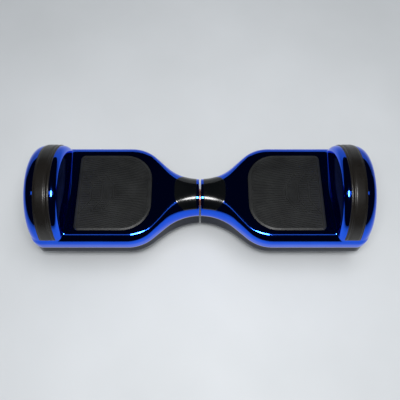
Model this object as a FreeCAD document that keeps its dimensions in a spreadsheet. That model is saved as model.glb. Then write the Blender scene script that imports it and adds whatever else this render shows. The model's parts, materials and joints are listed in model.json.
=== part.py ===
import FreeCAD, Part
import math
import os
import Sketcher

# Self balancing hoverboard: two mirrored halves that twist against each other on a
# pivot tube, each with a foot pad, a hub motor wheel and a fender over the wheel.
#
# Every piece is drawn as it sits in the right half, in a frame whose X axis is the
# axle line (X grows from the waist out to the wheel, +Y is the back, +Z is up).
# Placing a piece lifts it to the axle height; the left half is the same piece
# turned half a turn about the vertical, because each half is symmetrical front to back.

DIMENSIONS = [
    ("axle_height", 85, "tyre radius, so the axle line above the ground"),
    ("half_gap", 1.6, "half of the gap between the two halves"),
    ("wall", 3, "thickness of the moulded shells"),
    ("body_half_width", 93.8, "platform, axle line to front face"),
    ("platform_top", 21.3, "top of the platform above the axle line"),
    ("edge_round", 18, "rounding of the platform's long edges"),
    ("waist_radius", 34.2, "rounded waist about the pivot axis"),
    ("pivot_drop", 7, "pivot axis below the axle line"),
    ("waist_arc", 90, "hollow arc of the outline at the waist"),
    ("flare_angle", 42, "slope of the outline between waist and platform"),
    ("flare_arc", 65, "round arc of the outline at the platform"),
    ("hump_start", 34, "waist height begins to fall"),
    ("hump_end", 88, "waist height has come down to the platform"),
    ("seam", -10, "joint between top and bottom shell"),
    ("bottom", -54, "underside of the body"),
    ("bottom_round", 25, "rounding of the underside at the platform"),
    ("waist_bottom_round", 11, "rounding of the underside at the waist"),
    ("bottom_inset", 1.2, "bottom shell stands inside the top shell"),
    ("lip_bottom", -49, "lower end of the bottom shell beside the wheel"),
    ("fender_face", 229, "fender face beside the foot pad"),
    ("fender_lean", 4, "how far that face leans outwards at its top"),
    ("fender_radius", 91.5, "fender band about the axle line"),
    ("inner_shoulder", 11, "rounding of the fender's inner edge"),
    ("outer_shoulder", 20, "rounding of the fender's outer edge"),
    ("end", 292, "outer end of the body"),
    ("strip_start", 245, "rubber strip, inner edge"),
    ("strip_end", 272, "rubber strip, outer edge"),
    ("strip_rise", 1.7, "rubber strip above the fender"),
    ("strip_sweep", 160, "angle covered by the rubber strip"),
    ("pad_start", 85.5, "foot pad, edge at the waist"),
    ("pad_end", 216.5, "foot pad, edge at the fender"),
    ("pad_half", 73, "foot pad, half of its length"),
    ("pad_big_round", 50, "foot pad corners at the waist"),
    ("pad_small_round", 8, "foot pad corners at the fender"),
    ("pad_top", 21.8, "top of the foot pad"),
    ("pad_thick", 3.5, "rubber mat"),
    ("treadle_thick", 2, "steel plate under the mat"),
    ("tray_top", 14.3, "floor of the recess that holds the pad"),
    ("tray_thick", 2.5, "thickness of that floor"),
    ("post_radius", 5, "rubber posts under the treadle"),
    ("post_inner", 114, "inner pair of posts"),
    ("post_outer", 174, "outer pair of posts"),
    ("post_spread", 36, "posts, distance from the centre line"),
    ("post_bottom", 5.5, "lower end of the posts"),
    ("panel_start", 6.2, "waist panel, edge beside the gap"),
    ("panel_end", 45, "waist panel, rounded end"),
    ("panel_round", 26, "waist panel, corner radius seen from above"),
    ("panel_low", 9.5, "waist panel, lower edge"),
    ("panel_depth", 1.6, "waist panel let into the shell"),
    ("panel_proud", 0.3, "waist panel above the shell"),
    ("tube_radius", 14, "steel pivot tube"),
    ("tube_bore", 10, "cable way through the pivot tube"),
    ("tube_reach", 62, "pivot tube, centre to end"),
    ("bush_radius", 16, "bronze bush, outside"),
    ("sleeve_radius", 19, "pivot sleeve of the frame"),
    ("sleeve_end", 58, "pivot sleeve, far end"),
    ("pin_x", 33, "stop pin, along the pivot tube"),
    ("washer_radius", 16.5, "thrust washer in the gap"),
    ("running_gap", 0.05, "radial clearance of the turning fits"),
    ("plate_top", -10, "frame plate, upper face"),
    ("plate_thick", 4, "frame plate"),
    ("plate_half", 52, "frame plate, half width"),
    ("saddle_start", 196, "axle saddle, inner end"),
    ("saddle_end", 222, "axle saddle, outer end"),
    ("saddle_half", 20, "axle saddle, half width"),
    ("clamp_top", 10.5, "upper face of the axle clamp"),
    ("axle_radius", 8, "motor axle"),
    ("axle_end", 279, "outer end of the motor axle"),
    ("cable_bore", 3.5, "cable way in the motor axle"),
    ("tyre_inner", 238, "tyre, side next to the body"),
    ("tyre_outer", 284, "tyre, outer side"),
    ("rim_radius", 62, "tyre seat on the rim"),
    ("rim_start", 244.2, "open end of the rotor drum"),
    ("lid_start", 240.5, "inner face of the motor's lid"),
    ("drum_radius", 56.4, "bore of the rotor drum"),
    ("magnet_radius", 53, "inner face of the magnets"),
    ("bearing_radius", 16, "wheel bearings, outside"),
    ("bearing_width", 9, "wheel bearings"),
    ("board_low", -3, "gyroscope board, lower face"),
    ("board_thick", 1.6, "circuit boards"),
    ("main_board_low", -32, "controller board, lower face"),
    ("battery_start", 78, "battery pack, edge at the waist"),
    ("battery_length", 130, "battery pack"),
    ("battery_half", 44, "battery pack, half width"),
    ("battery_low", -50.5, "battery pack, underside"),
    ("lead_drop", 98, "controller lead turns down, along the body"),
    ("socket_x", 150, "charging socket along the body"),
    ("button_x", 186, "power button along the body"),
    ("socket_z", -21, "charging socket and button, below the axle line"),
    ("screw_radius", 2, "shell screws"),
    ("screw_seat", 12, "seats of the screw heads above the underside"),
    ("screw_tip", 2, "upper ends of the shell screws"),
    ("screw_inner_x", 62, "pair of shell screws by the waist, along the body"),
    ("screw_inner_y", 42, "the same pair, out from the centre line"),
    ("screw_middle_x", 126, "middle pair of shell screws, along the body"),
    ("screw_outer_x", 221, "pair of shell screws by the wheel, along the body"),
    ("screw_outer_y", 76, "both outer pairs, out from the centre line"),
]

V = FreeCAD.Vector
doc = FreeCAD.newDocument("Hoverboard")
sheet = doc.addObject("Spreadsheet::Sheet", "Dim")
for row, (alias, value, note) in enumerate(DIMENSIONS, start=1):
    sheet.set(f"A{row}", note)
    sheet.set(f"B{row}", str(value))
    sheet.setAlias(f"B{row}", alias)
doc.recompute()

PARTS = []


def number(expression):
    """Value of an expression on the sheet."""
    return float(sheet.evalExpression(str(expression)))


# ---- small helpers -----------------------------------------------------------------

def place(piece, label, half):
    """Name a finished piece and stand it in the right or the left half."""
    piece.Label = label
    turn = 180 if half == "left" else 0
    piece.Placement = FreeCAD.Placement(V(0, 0, 0), FreeCAD.Rotation(V(0, 0, 1), turn))
    piece.setExpression("Placement.Base.z", "Dim.axle_height")
    PARTS.append(piece)
    return piece


def new_body(name):
    body = doc.addObject("PartDesign::Body", name)
    body.AllowCompound = True
    return body


def origin_item(body, role):
    for item in body.Origin.OriginFeatures:
        if item.Role == role:
            return item
    raise ValueError(role)


def new_sketch(body, role, offset="0"):
    """A sketch on one of the body's own origin planes, moved along its normal."""
    sketch = body.newObject("Sketcher::SketchObject", "Sketch")
    sketch.AttachmentSupport = [(origin_item(body, role), "")]
    sketch.MapMode = "FlatFace"
    sketch.setExpression("AttachmentOffset.Base.z", str(offset))
    return sketch


def bind(sketch, kind, places, expression):
    """Add one driving constraint and bind it to the sheet."""
    index = sketch.addConstraint(Sketcher.Constraint(kind, *places, number(expression)))
    sketch.setExpression(f"Constraints[{index}]", str(expression))


def arc_centre(start, end, radius, turn):
    """Centre of the short arc between two points; turn is 1 for a left-hand arc."""
    middle = (start + end) * 0.5
    chord = end - start
    rise = math.sqrt(max(radius ** 2 - (chord.Length / 2) ** 2, 0))
    side = V(-chord.y, chord.x, 0) / chord.Length
    return middle + side * rise * turn


def draw(sketch, path):
    """Closed outline. Each stop is (x, y) for a line to it or (x, y, radius, turn)
    for an arc to it; the first stop is the start."""
    stops = [V(number(stop[0]), number(stop[1]), 0) for stop in path]
    first = sketch.GeometryCount
    count = len(path)
    for index, stop in enumerate(path):
        start = stops[index - 1]
        end = stops[index]
        if len(stop) == 2:
            sketch.addGeometry(Part.LineSegment(start, end), False)
            continue
        radius = number(stop[2])
        centre = arc_centre(start, end, radius, stop[3])
        low, high = (start, end) if stop[3] > 0 else (end, start)
        angles = [math.atan2(p.y - centre.y, p.x - centre.x) for p in (low, high)]
        circle = Part.Circle(centre, V(0, 0, 1), radius)
        sketch.addGeometry(Part.ArcOfCircle(circle, *angles), False)
    for index, stop in enumerate(path):
        following = path[(index + 1) % count]
        left_hand = len(stop) == 2 or stop[3] > 0
        next_left = len(following) == 2 or following[3] > 0
        here = first + index
        after = first + (index + 1) % count
        end_point = 2 if left_hand else 1
        start_point = 1 if next_left else 2
        joint = Sketcher.Constraint("Coincident", here, end_point, after, start_point)
        sketch.addConstraint(joint)
        bind(sketch, "DistanceX", (-1, 1, here, end_point), stop[0])
        bind(sketch, "DistanceY", (-1, 1, here, end_point), stop[1])
        if len(stop) == 4:
            bind(sketch, "Radius", (here,), stop[2])


def draw_box(sketch, x_low, x_high, y_low, y_high):
    draw(sketch, [(x_low, y_low), (x_high, y_low), (x_high, y_high), (x_low, y_high)])


def draw_circle(sketch, x, y, radius):
    circle = Part.Circle(V(number(x), number(y), 0), V(0, 0, 1), number(radius))
    index = sketch.addGeometry(circle, False)
    bind(sketch, "DistanceX", (-1, 1, index, 3), x)
    bind(sketch, "DistanceY", (-1, 1, index, 3), y)
    bind(sketch, "Radius", (index,), radius)


def feature(body, kind, sketch, **bound):
    """Add a sketch-based feature and check that it changed the solid's volume."""
    doc.recompute()
    before = body.Shape.Volume if body.Tip else 0
    item = body.newObject("PartDesign::" + kind, kind)
    item.Profile = sketch
    plain = bound.pop("plain", {})
    for prop, value in plain.items():
        setattr(item, prop, value)
    for prop, expression in bound.items():
        item.setExpression(prop, str(expression))
    doc.recompute()
    grows = kind in ("Pad", "Revolution", "AdditiveLoft")
    change = item.Shape.Volume - before
    if change * (1 if grows else -1) <= 0:
        raise RuntimeError(f"{body.Name}: {item.Name} changed nothing")
    return item


def pad(body, sketch, length):
    return feature(body, "Pad", sketch, Length=length)


def pocket(body, sketch, length, along_normal=False):
    """Cut away from the sketch; along_normal cuts towards the plane's own normal."""
    return feature(body, "Pocket", sketch, Length=length, plain={"Reversed": along_normal})


def turned(body, sketch, kind="Revolution", angle="360", both_sides=False):
    """Turn a half section about the axle line."""
    axis = (origin_item(body, "X_Axis"), [""])
    plain = {"ReferenceAxis": axis, "Midplane": both_sides}
    return feature(body, kind, sketch, Angle=angle, plain=plain)


def turned_body(name, path):
    """A round piece from its half section: X along the axle, Y is the radius."""
    body = new_body(name)
    sketch = new_sketch(body, "XZ_Plane")
    draw(sketch, path)
    turned(body, sketch)
    return body


def around_axle(body, features, count):
    """Repeat features evenly about the axle line."""
    pattern = body.newObject("PartDesign::PolarPattern", "Pattern")
    pattern.Originals = features
    pattern.Axis = (origin_item(body, "X_Axis"), [""])
    pattern.Angle = 360
    pattern.Occurrences = count
    body.Tip = pattern
    doc.recompute()
    return pattern


def cylinder(name, radius, length, position, direction):
    """A bound cylinder that starts at a position and runs along a direction."""
    item = doc.addObject("Part::Cylinder", name)
    item.setExpression("Radius", str(radius))
    item.setExpression("Height", str(length))
    item.Placement = FreeCAD.Placement(V(0, 0, 0), FreeCAD.Rotation(V(0, 0, 1), direction))
    for axis, expression in zip("xyz", position):
        item.setExpression("Placement.Base." + axis, str(expression))
    return item


def box(name, low, size):
    """A bound box from its lowest corner and its size."""
    item = doc.addObject("Part::Box", name)
    for prop, expression in zip(("Length", "Width", "Height"), size):
        item.setExpression(prop, str(expression))
    for axis, expression in zip("xyz", low):
        item.setExpression("Placement.Base." + axis, str(expression))
    return item


def cut(base, tool, name="Cut"):
    item = doc.addObject("Part::Cut", name)
    item.Base = base
    item.Tool = tool
    return item


def fuse(shapes, name="Fuse"):
    item = doc.addObject("Part::MultiFuse", name)
    item.Shapes = shapes
    return item


def group(shapes, name="Group"):
    item = doc.addObject("Part::Compound", name)
    item.Links = shapes
    return item


MAIN_LOW = "Dim.main_board_low"
MAIN_TOP = f"{MAIN_LOW} + Dim.board_thick"
PLATE_LOW = "Dim.plate_top - Dim.plate_thick"
PIVOT_Z = "-Dim.pivot_drop"
SPOKES = 8
TEETH = 27
MAGNETS = 30
LID_SCREWS = 6
FINS = 6
X_WAY = V(1, 0, 0)
Y_WAY = V(0, 1, 0)
Z_WAY = V(0, 0, 1)


# ---- outline of the body -----------------------------------------------------------

STRAIGHT = ("((Dim.body_half_width - Dim.waist_radius - (Dim.waist_arc + Dim.flare_arc)"
            " * (1 - cos(Dim.flare_angle))) / sin(Dim.flare_angle))")
FLARE_END = ("((Dim.waist_arc + Dim.flare_arc) * sin(Dim.flare_angle)"
             f" + {STRAIGHT} * cos(Dim.flare_angle))")


def stations():
    """Sections along the waist and flare, as (x, half width) pairs."""
    found = []
    for part in (0.0, 0.25, 0.5, 0.75, 1.0):
        angle = f"({part} * Dim.flare_angle)"
        x = f"max(Dim.half_gap; Dim.waist_arc * sin({angle}))"
        half = f"(Dim.waist_radius + Dim.waist_arc * (1 - cos({angle})))"
        found.append((x, half))
    for part in (1.0, 0.7, 0.4, 0.15, 0.0):
        angle = f"({part} * Dim.flare_angle)"
        x = f"({FLARE_END} - Dim.flare_arc * sin({angle}))"
        half = f"(Dim.body_half_width - Dim.flare_arc * (1 - cos({angle})))"
        found.append((x, half))
    return found


def blend(x, waist, platform):
    """A size that changes smoothly from the waist to the platform."""
    share = f"min(1; max(0; ({x} - Dim.hump_start) / (Dim.hump_end - Dim.hump_start)))"
    return f"({platform} + ({waist} - {platform}) * (0.5 + 0.5 * cos(180 * {share})))"


def top_section(sketch, x, half, inset):
    """Upper cross-section: upright sides, rounded edges, flat top."""
    height = blend(x, "(Dim.waist_radius - Dim.pivot_drop)", "Dim.platform_top")
    height = f"({height} - {inset})"
    # the waist's rounding stops 1 mm short of a half circle, which keeps a flat top
    corner = f"({blend(x, '(Dim.waist_radius - 1)', 'Dim.edge_round')} - {inset})"
    wide = f"({half} - {inset})"
    flat = f"({wide} - {corner})"
    side = f"({height} - {corner})"
    draw(sketch, [(f"-{wide}", "Dim.seam"), (wide, "Dim.seam"), (wide, side),
                  (flat, height, corner, 1), (f"-{flat}", height),
                  (f"-{wide}", side, corner, 1)])


def bottom_section(sketch, x, half, inset):
    """Lower cross-section: upright sides, rounded lower edges, flat underside."""
    wide = f"({half} - Dim.bottom_inset - {inset})"
    corner = f"({blend(x, 'Dim.waist_bottom_round', 'Dim.bottom_round')} - {inset})"
    low = f"(Dim.bottom + {inset})"
    flat = f"({wide} - {corner})"
    side = f"({low} + {corner})"
    draw(sketch, [(wide, "Dim.seam"), (f"-{wide}", "Dim.seam"), (f"-{wide}", side),
                  (f"-{flat}", low, corner, 1), (flat, low), (wide, side, corner, 1)])


def loft_waist(body, section, inset, kind, start="0"):
    """Loft the waist and flare through the stations."""
    sketches = []
    for index, (x, half) in enumerate(stations()):
        where = f"max({x}; {start})" if index == 0 else x
        sketch = new_sketch(body, "YZ_Plane", where)
        section(sketch, where, half, inset)
        sketches.append(sketch)
    doc.recompute()
    return feature(body, kind, sketches[0], plain={"Sections": sketches[1:]})


def add_platform(body, section):
    """Straight stretch from the flare to the outer end of the body."""
    sketch = new_sketch(body, "YZ_Plane", FLARE_END)
    section(sketch, FLARE_END, "Dim.body_half_width", "0")
    pad(body, sketch, f"Dim.end - {FLARE_END}")


def hollow(body, section):
    """Room inside a shell, from the end wall at the waist to the wheel's wall."""
    loft_waist(body, section, "Dim.wall", "SubtractiveLoft", "(Dim.half_gap + Dim.wall)")
    sketch = new_sketch(body, "YZ_Plane", FLARE_END)
    section(sketch, FLARE_END, "Dim.body_half_width", "Dim.wall")
    pocket(body, sketch, f"Dim.fender_face - {FLARE_END}", along_normal=True)


def round_corners(body, inset):
    """Round the outer end's two corners, seen from above, like the fender's edge."""
    start = "(Dim.end - Dim.outer_shoulder)"
    wide = f"(Dim.body_half_width - {inset})"
    inner = f"({wide} - Dim.outer_shoulder)"
    far_x = "(Dim.end + 8)"
    far_y = "(Dim.body_half_width + 8)"
    sketch = new_sketch(body, "XY_Plane", "60")
    draw(sketch, [(start, wide, "Dim.outer_shoulder", 1), (start, far_y), (far_x, far_y),
                  (far_x, inner), ("Dim.end", inner)])
    draw(sketch, [("Dim.end", f"-{inner}", "Dim.outer_shoulder", 1),
                  (far_x, f"-{inner}"), (far_x, f"-{far_y}"), (start, f"-{far_y}"),
                  (start, f"-{wide}")])
    pocket(body, sketch, "140")


# ---- shells ------------------------------------------------------------------------

def cut_wheel_well(body):
    """Room for the wheel: clear of the tyre, closed towards the body by a wall."""
    face = "(Dim.fender_face + Dim.wall)"
    lean_top = "(Dim.fender_radius - Dim.inner_shoulder)"
    leaning = f"({face} + Dim.fender_lean)"
    shoulder = "(Dim.inner_shoulder - Dim.wall)"
    roof = "(Dim.fender_radius - Dim.wall)"
    far_shoulder = "(Dim.outer_shoulder - Dim.wall)"
    lip = "(Dim.end - Dim.wall)"
    opening = "(Dim.fender_radius - Dim.outer_shoulder)"
    sketch = new_sketch(body, "XZ_Plane")
    draw(sketch, [(face, "0"), ("Dim.end + 5", "0"), ("Dim.end + 5", opening),
                  (lip, opening), ("Dim.end - Dim.outer_shoulder", roof, far_shoulder, 1),
                  (f"{leaning} + {shoulder}", roof), (leaning, lean_top, shoulder, 1),
                  (face, "Dim.platform_top")])
    turned(body, sketch, "Groove")


def add_fender(body):
    """Round fender over the wheel, still solid."""
    leaning = "(Dim.fender_face + Dim.fender_lean)"
    lean_top = "(Dim.fender_radius - Dim.inner_shoulder)"
    band_end = "(Dim.end - Dim.outer_shoulder)"
    sketch = new_sketch(body, "XZ_Plane")
    draw(sketch, [("Dim.fender_face", "0"), ("Dim.end", "0"),
                  ("Dim.end", "Dim.fender_radius - Dim.outer_shoulder"),
                  (band_end, "Dim.fender_radius", "Dim.outer_shoulder", 1),
                  (f"{leaning} + Dim.inner_shoulder", "Dim.fender_radius"),
                  (leaning, lean_top, "Dim.inner_shoulder", 1),
                  ("Dim.fender_face", "Dim.platform_top")])
    turned(body, sketch)


def draw_pad_outline(sketch, spread):
    """D-shaped outline of the foot pad, made larger by spread."""
    low = f"(Dim.pad_start - {spread})"
    high = f"(Dim.pad_end + {spread})"
    half = f"(Dim.pad_half + {spread})"
    big = f"(Dim.pad_big_round + {spread})"
    small = f"(Dim.pad_small_round + {spread})"
    draw(sketch, [(f"{low} + {big}", f"-{half}", big, 1), (f"{high} - {small}", f"-{half}"),
                  (high, f"-({half} - {small})", small, 1), (high, f"{half} - {small}"),
                  (f"{high} - {small}", half, small, 1), (f"{low} + {big}", half),
                  (low, f"{half} - {big}", big, 1), (low, f"-({half} - {big})")])


def draw_axle_slot(sketch):
    """Slot that lets the shell drop over the axle: straight sides, round top."""
    wide = "(Dim.axle_radius + 1.5)"
    draw(sketch, [(f"-{wide}", "Dim.seam - 1"), (wide, "Dim.seam - 1"), (wide, "0"),
                  ("0", wide, wide, 1), (f"-{wide}", "0", wide, 1)])


def cut_sleeve_opening(body):
    """Round opening in the waist's end wall for the pivot sleeve."""
    sketch = new_sketch(body, "YZ_Plane")
    draw_circle(sketch, "0", "-Dim.pivot_drop", "Dim.sleeve_radius + 1")
    pocket(body, sketch, "Dim.half_gap + Dim.wall + 1", along_normal=True)


# shell screws: along the body, out from the centre line, height of the upper boss
INNER_SCREWS = [("Dim.screw_inner_x", "Dim.screw_inner_y")]
OUTER_SCREWS = [("Dim.screw_middle_x", "Dim.screw_outer_y"),
                ("Dim.screw_outer_x", "Dim.screw_outer_y")]


def draw_screw_circles(sketch, radius, places=tuple(INNER_SCREWS + OUTER_SCREWS)):
    for x, y in places:
        for side in ("", "-"):
            draw_circle(sketch, x, side + y, radius)


def make_panel_solid(name):
    """Gloss panel over the waist, following the shell; it is also the shape cut
    out of the top shell to hold it."""
    body = new_body(name)
    loft_waist(body, top_section, "(-Dim.panel_proud)", "AdditiveLoft")
    loft_waist(body, top_section, "Dim.panel_depth", "SubtractiveLoft")
    sketch = new_sketch(body, "XY_Plane", "Dim.waist_radius + 10")
    start = "Dim.panel_start"
    end = "Dim.panel_end"
    half = "Dim.waist_radius"
    corner = "Dim.panel_round"
    draw_box(sketch, "-5", "Dim.body_half_width * 1.6", "-Dim.body_half_width * 1.2",
             "Dim.body_half_width * 1.2")
    draw(sketch, [(start, f"-{half}"), (f"{end} - {corner}", f"-{half}"),
                  (end, f"-({half} - {corner})", corner, 1), (end, f"{half} - {corner}"),
                  (f"{end} - {corner}", half, corner, 1), (start, half)])
    pocket(body, sketch, "Dim.waist_radius + 40")
    low = new_sketch(body, "XY_Plane", "Dim.panel_low")
    draw_box(low, "-5", "Dim.panel_end + 20", "-Dim.body_half_width", "Dim.body_half_width")
    pocket(body, low, "60")
    return body


def make_top_shell(half, panel):
    body = new_body("TopShell")
    loft_waist(body, top_section, "0", "AdditiveLoft")
    add_platform(body, top_section)
    round_corners(body, "0")
    add_fender(body)
    below = new_sketch(body, "XY_Plane", "Dim.seam")
    draw_box(below, "-5", "Dim.end + 5", "-Dim.fender_radius - 9", "Dim.fender_radius + 9")
    pocket(body, below, "Dim.fender_radius + 20")
    cut_wheel_well(body)
    hollow(body, top_section)

    # recess for the foot pad, with its floor let into the hollow
    tray = new_sketch(body, "XY_Plane", "Dim.tray_top - Dim.tray_thick")
    draw_pad_outline(tray, "(1 + Dim.wall)")
    pad(body, tray, "Dim.platform_top - Dim.tray_top + Dim.tray_thick - 1.5")
    recess = new_sketch(body, "XY_Plane", "Dim.platform_top + 10")
    draw_pad_outline(recess, "0.8")
    pocket(body, recess, "Dim.platform_top + 10 - Dim.tray_top")
    holes = new_sketch(body, "XY_Plane", "Dim.tray_top + 1")
    draw_posts(holes, "Dim.post_radius + 1")
    pocket(body, holes, "Dim.tray_thick + 2")

    # screw bosses reach down to the seam
    for places, top in ((INNER_SCREWS, "Dim.platform_top"),
                        (OUTER_SCREWS, "(Dim.platform_top - 8)")):
        bosses = new_sketch(body, "XY_Plane", "Dim.seam")
        draw_screw_circles(bosses, "Dim.screw_radius + 2.5", places)
        pad(body, bosses, f"{top} - Dim.seam")
    pilots = new_sketch(body, "XY_Plane", "Dim.screw_tip + 1")
    draw_screw_circles(pilots, "Dim.screw_radius")
    pocket(body, pilots, "Dim.screw_tip + 1 - Dim.seam")

    slot = new_sketch(body, "YZ_Plane", "Dim.fender_face - 4")
    draw_axle_slot(slot)
    pocket(body, slot, "Dim.wall + 8", along_normal=True)
    cut_sleeve_opening(body)
    return place(cut(body, panel, "TopShellCut"), f"top_shell_{half}", half)


def draw_posts(sketch, radius):
    for x in ("Dim.post_inner", "Dim.post_outer"):
        for side in ("", "-"):
            draw_circle(sketch, x, side + "Dim.post_spread", radius)


def make_bottom_shell(half):
    body = new_body("BottomShell")
    loft_waist(body, bottom_section, "0", "AdditiveLoft")
    add_platform(body, bottom_section)
    round_corners(body, "Dim.bottom_inset")
    cut_wheel_well(body)
    # beside the wheel only a short lip goes on below the fender
    lip = new_sketch(body, "XY_Plane", "Dim.lip_bottom")
    draw_box(lip, "Dim.fender_face + Dim.wall", "Dim.end + 5", "-Dim.fender_radius - 9",
             "Dim.fender_radius + 9")
    pocket(body, lip, "40")
    hollow(body, bottom_section)
    for places, low in ((INNER_SCREWS, "(Dim.bottom + 2.2)"),
                        (OUTER_SCREWS, "(Dim.bottom + 4.2)")):
        bosses = new_sketch(body, "XY_Plane", low)
        draw_screw_circles(bosses, "Dim.screw_radius + 2.5", places)
        pad(body, bosses, f"Dim.seam - {low}")
    shanks = new_sketch(body, "XY_Plane", "Dim.seam + 1")
    draw_screw_circles(shanks, "Dim.screw_radius + 0.3")
    pocket(body, shanks, "70")
    heads = new_sketch(body, "XY_Plane", "Dim.bottom + Dim.screw_seat")
    draw_screw_circles(heads, "Dim.screw_radius + 1.8")
    pocket(body, heads, "Dim.screw_seat + 5")
    cut_sleeve_opening(body)
    if half == "right":
        for x in ("Dim.socket_x", "Dim.button_x"):
            hole = new_sketch(body, "XZ_Plane", "-Dim.body_half_width - 5")
            draw_circle(hole, x, "Dim.socket_z", "8" if "socket" in x else "6.5")
            pocket(body, hole, "14", along_normal=True)
    return place(body, f"bottom_shell_{half}", half)


# ---- foot pad ----------------------------------------------------------------------

def make_foot_pad(half):
    """Rubber mat with a bevelled rim."""
    body = new_body("FootPad")
    sketch = new_sketch(body, "XY_Plane", "Dim.pad_top - Dim.pad_thick")
    draw_pad_outline(sketch, "0")
    mat = pad(body, sketch, "Dim.pad_thick")
    top = number("Dim.pad_top")
    rim = [f"Edge{index}" for index, edge in enumerate(mat.Shape.Edges, start=1)
           if abs(edge.BoundBox.ZMin - top) < 0.01 and edge.BoundBox.ZLength < 0.01]
    bevel = body.newObject("PartDesign::Chamfer", "Bevel")
    bevel.Base = (mat, rim)
    bevel.Size = 1.6
    doc.recompute()
    return place(body, f"foot_pad_{half}", half)


def make_treadle(half):
    """Moulded plate bonded under the mat, with four posts that reach the sensors."""
    body = new_body("Treadle")
    low = "(Dim.pad_top - Dim.pad_thick - Dim.treadle_thick)"
    plate = new_sketch(body, "XY_Plane", low)
    draw_pad_outline(plate, "-2")
    pad(body, plate, "Dim.treadle_thick")
    posts = new_sketch(body, "XY_Plane", "Dim.post_bottom")
    draw_posts(posts, "Dim.post_radius")
    pad(body, posts, f"{low} - Dim.post_bottom + 0.5")
    tips = new_sketch(body, "XY_Plane", "Dim.post_bottom - 1")
    draw_posts(tips, "Dim.post_radius - 2")
    pad(body, tips, "2")
    return place(body, f"treadle_{half}", half)


# ---- fender strip and waist panel --------------------------------------------------

def make_fender_strip(half):
    """Rubber strip over the fender: a bead, the raised band and a thin outer lip."""
    body = new_body("Strip")
    sketch = new_sketch(body, "XZ_Plane")
    base = "Dim.fender_radius"
    top = "(Dim.fender_radius + Dim.strip_rise)"
    draw(sketch, [("Dim.strip_start", base), ("Dim.strip_end", base),
                  ("Dim.strip_end", f"{base} + 0.7"), ("Dim.strip_end - 2", f"{base} + 0.9"),
                  ("Dim.strip_end - 2.6", top), ("Dim.strip_start + 8", top),
                  ("Dim.strip_start + 7.4", f"{top} - 0.7"),
                  ("Dim.strip_start + 1.8", f"{top} - 0.6"),
                  ("Dim.strip_start", f"{base} + 0.5")])
    turned(body, sketch, angle="Dim.strip_sweep", both_sides=True)
    return place(body, f"fender_strip_{half}", half)


def make_indicator_board(half):
    """Small light board under the waist panel, on the end of the frame's web."""
    low = "Dim.sleeve_radius - Dim.pivot_drop + 1.2"
    board = box("IndicatorBoard", ("25", "-9", low), ("26", "18", "Dim.board_thick"))
    lights = [box("Light", (x, "-2.5", f"{low} + Dim.board_thick"), ("5", "5", "1.6"))
              for x in ("29", "41")]
    return place(fuse([board] + lights), f"indicator_board_{half}", half)


# ---- frame and pivot ---------------------------------------------------------------

def make_frame(half):
    """Cast frame: pivot sleeve, ribbed plate and the saddle that holds the axle."""
    body = new_body("Frame")
    plate = new_sketch(body, "XY_Plane", PLATE_LOW)
    draw(plate, [("24", "-20"), ("60", "-26"), ("95", "-Dim.plate_half"),
                 ("Dim.saddle_end + 3", "-Dim.plate_half"),
                 ("Dim.saddle_end + 3", "Dim.plate_half"), ("95", "Dim.plate_half"),
                 ("60", "26"), ("24", "20")])
    # openings for the pivot tube's end with its plug, and for the motor cable
    draw_box(plate, "Dim.sleeve_end", "Dim.lead_drop + 5", "-18", "18")
    draw_box(plate, "Dim.saddle_start - 24", "Dim.saddle_start - 6", "-12", "12")
    pad(body, plate, "Dim.plate_thick")
    ribs = new_sketch(body, "XY_Plane", PLATE_LOW)
    for side_low, side_high in (("Dim.plate_half - 4", "Dim.plate_half"),
                                ("-Dim.plate_half", "4 - Dim.plate_half")):
        draw_box(ribs, "96", "Dim.saddle_end + 3", side_low, side_high)
    pad(body, ribs, "Dim.plate_thick + 5")
    saddle = new_sketch(body, "XY_Plane", PLATE_LOW)
    draw_box(saddle, "Dim.saddle_start", "Dim.saddle_end", "-Dim.saddle_half",
             "Dim.saddle_half")
    pad(body, saddle, "-Dim.plate_top + Dim.plate_thick")
    legs = new_sketch(body, "XY_Plane", "Dim.plate_top - 1")
    for x in ("106", "182"):
        for y in ("-43", "43"):
            draw_circle(legs, x, y, "3.5")
    pad(body, legs, "Dim.board_low - Dim.plate_top + 1")
    sleeve = new_sketch(body, "YZ_Plane", "Dim.half_gap")
    draw_circle(sleeve, "0", "-Dim.pivot_drop", "Dim.sleeve_radius")
    pad(body, sleeve, "Dim.sleeve_end - Dim.half_gap")
    # the left sleeve grips the tube; the right one turns on bronze bushes
    bore_radius = "Dim.tube_radius" if half == "left" else "Dim.bush_radius"
    bore = new_sketch(body, "YZ_Plane", "Dim.half_gap - 1")
    draw_circle(bore, "0", "-Dim.pivot_drop", bore_radius)
    pocket(body, bore, "Dim.tube_reach + 2", along_normal=True)
    seat = new_sketch(body, "YZ_Plane", "Dim.saddle_start - 1")
    draw_circle(seat, "0", "0", "Dim.axle_radius")
    pocket(body, seat, "Dim.saddle_end - Dim.saddle_start + 6", along_normal=True)
    if half == "right":
        # spacers that carry the controller board
        spacers = new_sketch(body, "XY_Plane", MAIN_TOP)
        for x in ("98", "194"):
            for y in ("-36", "36"):
                draw_circle(spacers, x, y, "3")
        pad(body, spacers, f"{PLATE_LOW} + 1 - ({MAIN_TOP})")
        # slot for the stop pin, which limits how far the halves twist
        slot = new_sketch(body, "XY_Plane", "Dim.sleeve_radius + 1 - Dim.pivot_drop")
        draw_box(slot, "Dim.pin_x - 2.6", "Dim.pin_x + 2.6", "-6.4", "6.4")
        pocket(body, slot, "Dim.sleeve_radius - 8")
    return place(body, f"frame_{half}", half)


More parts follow.
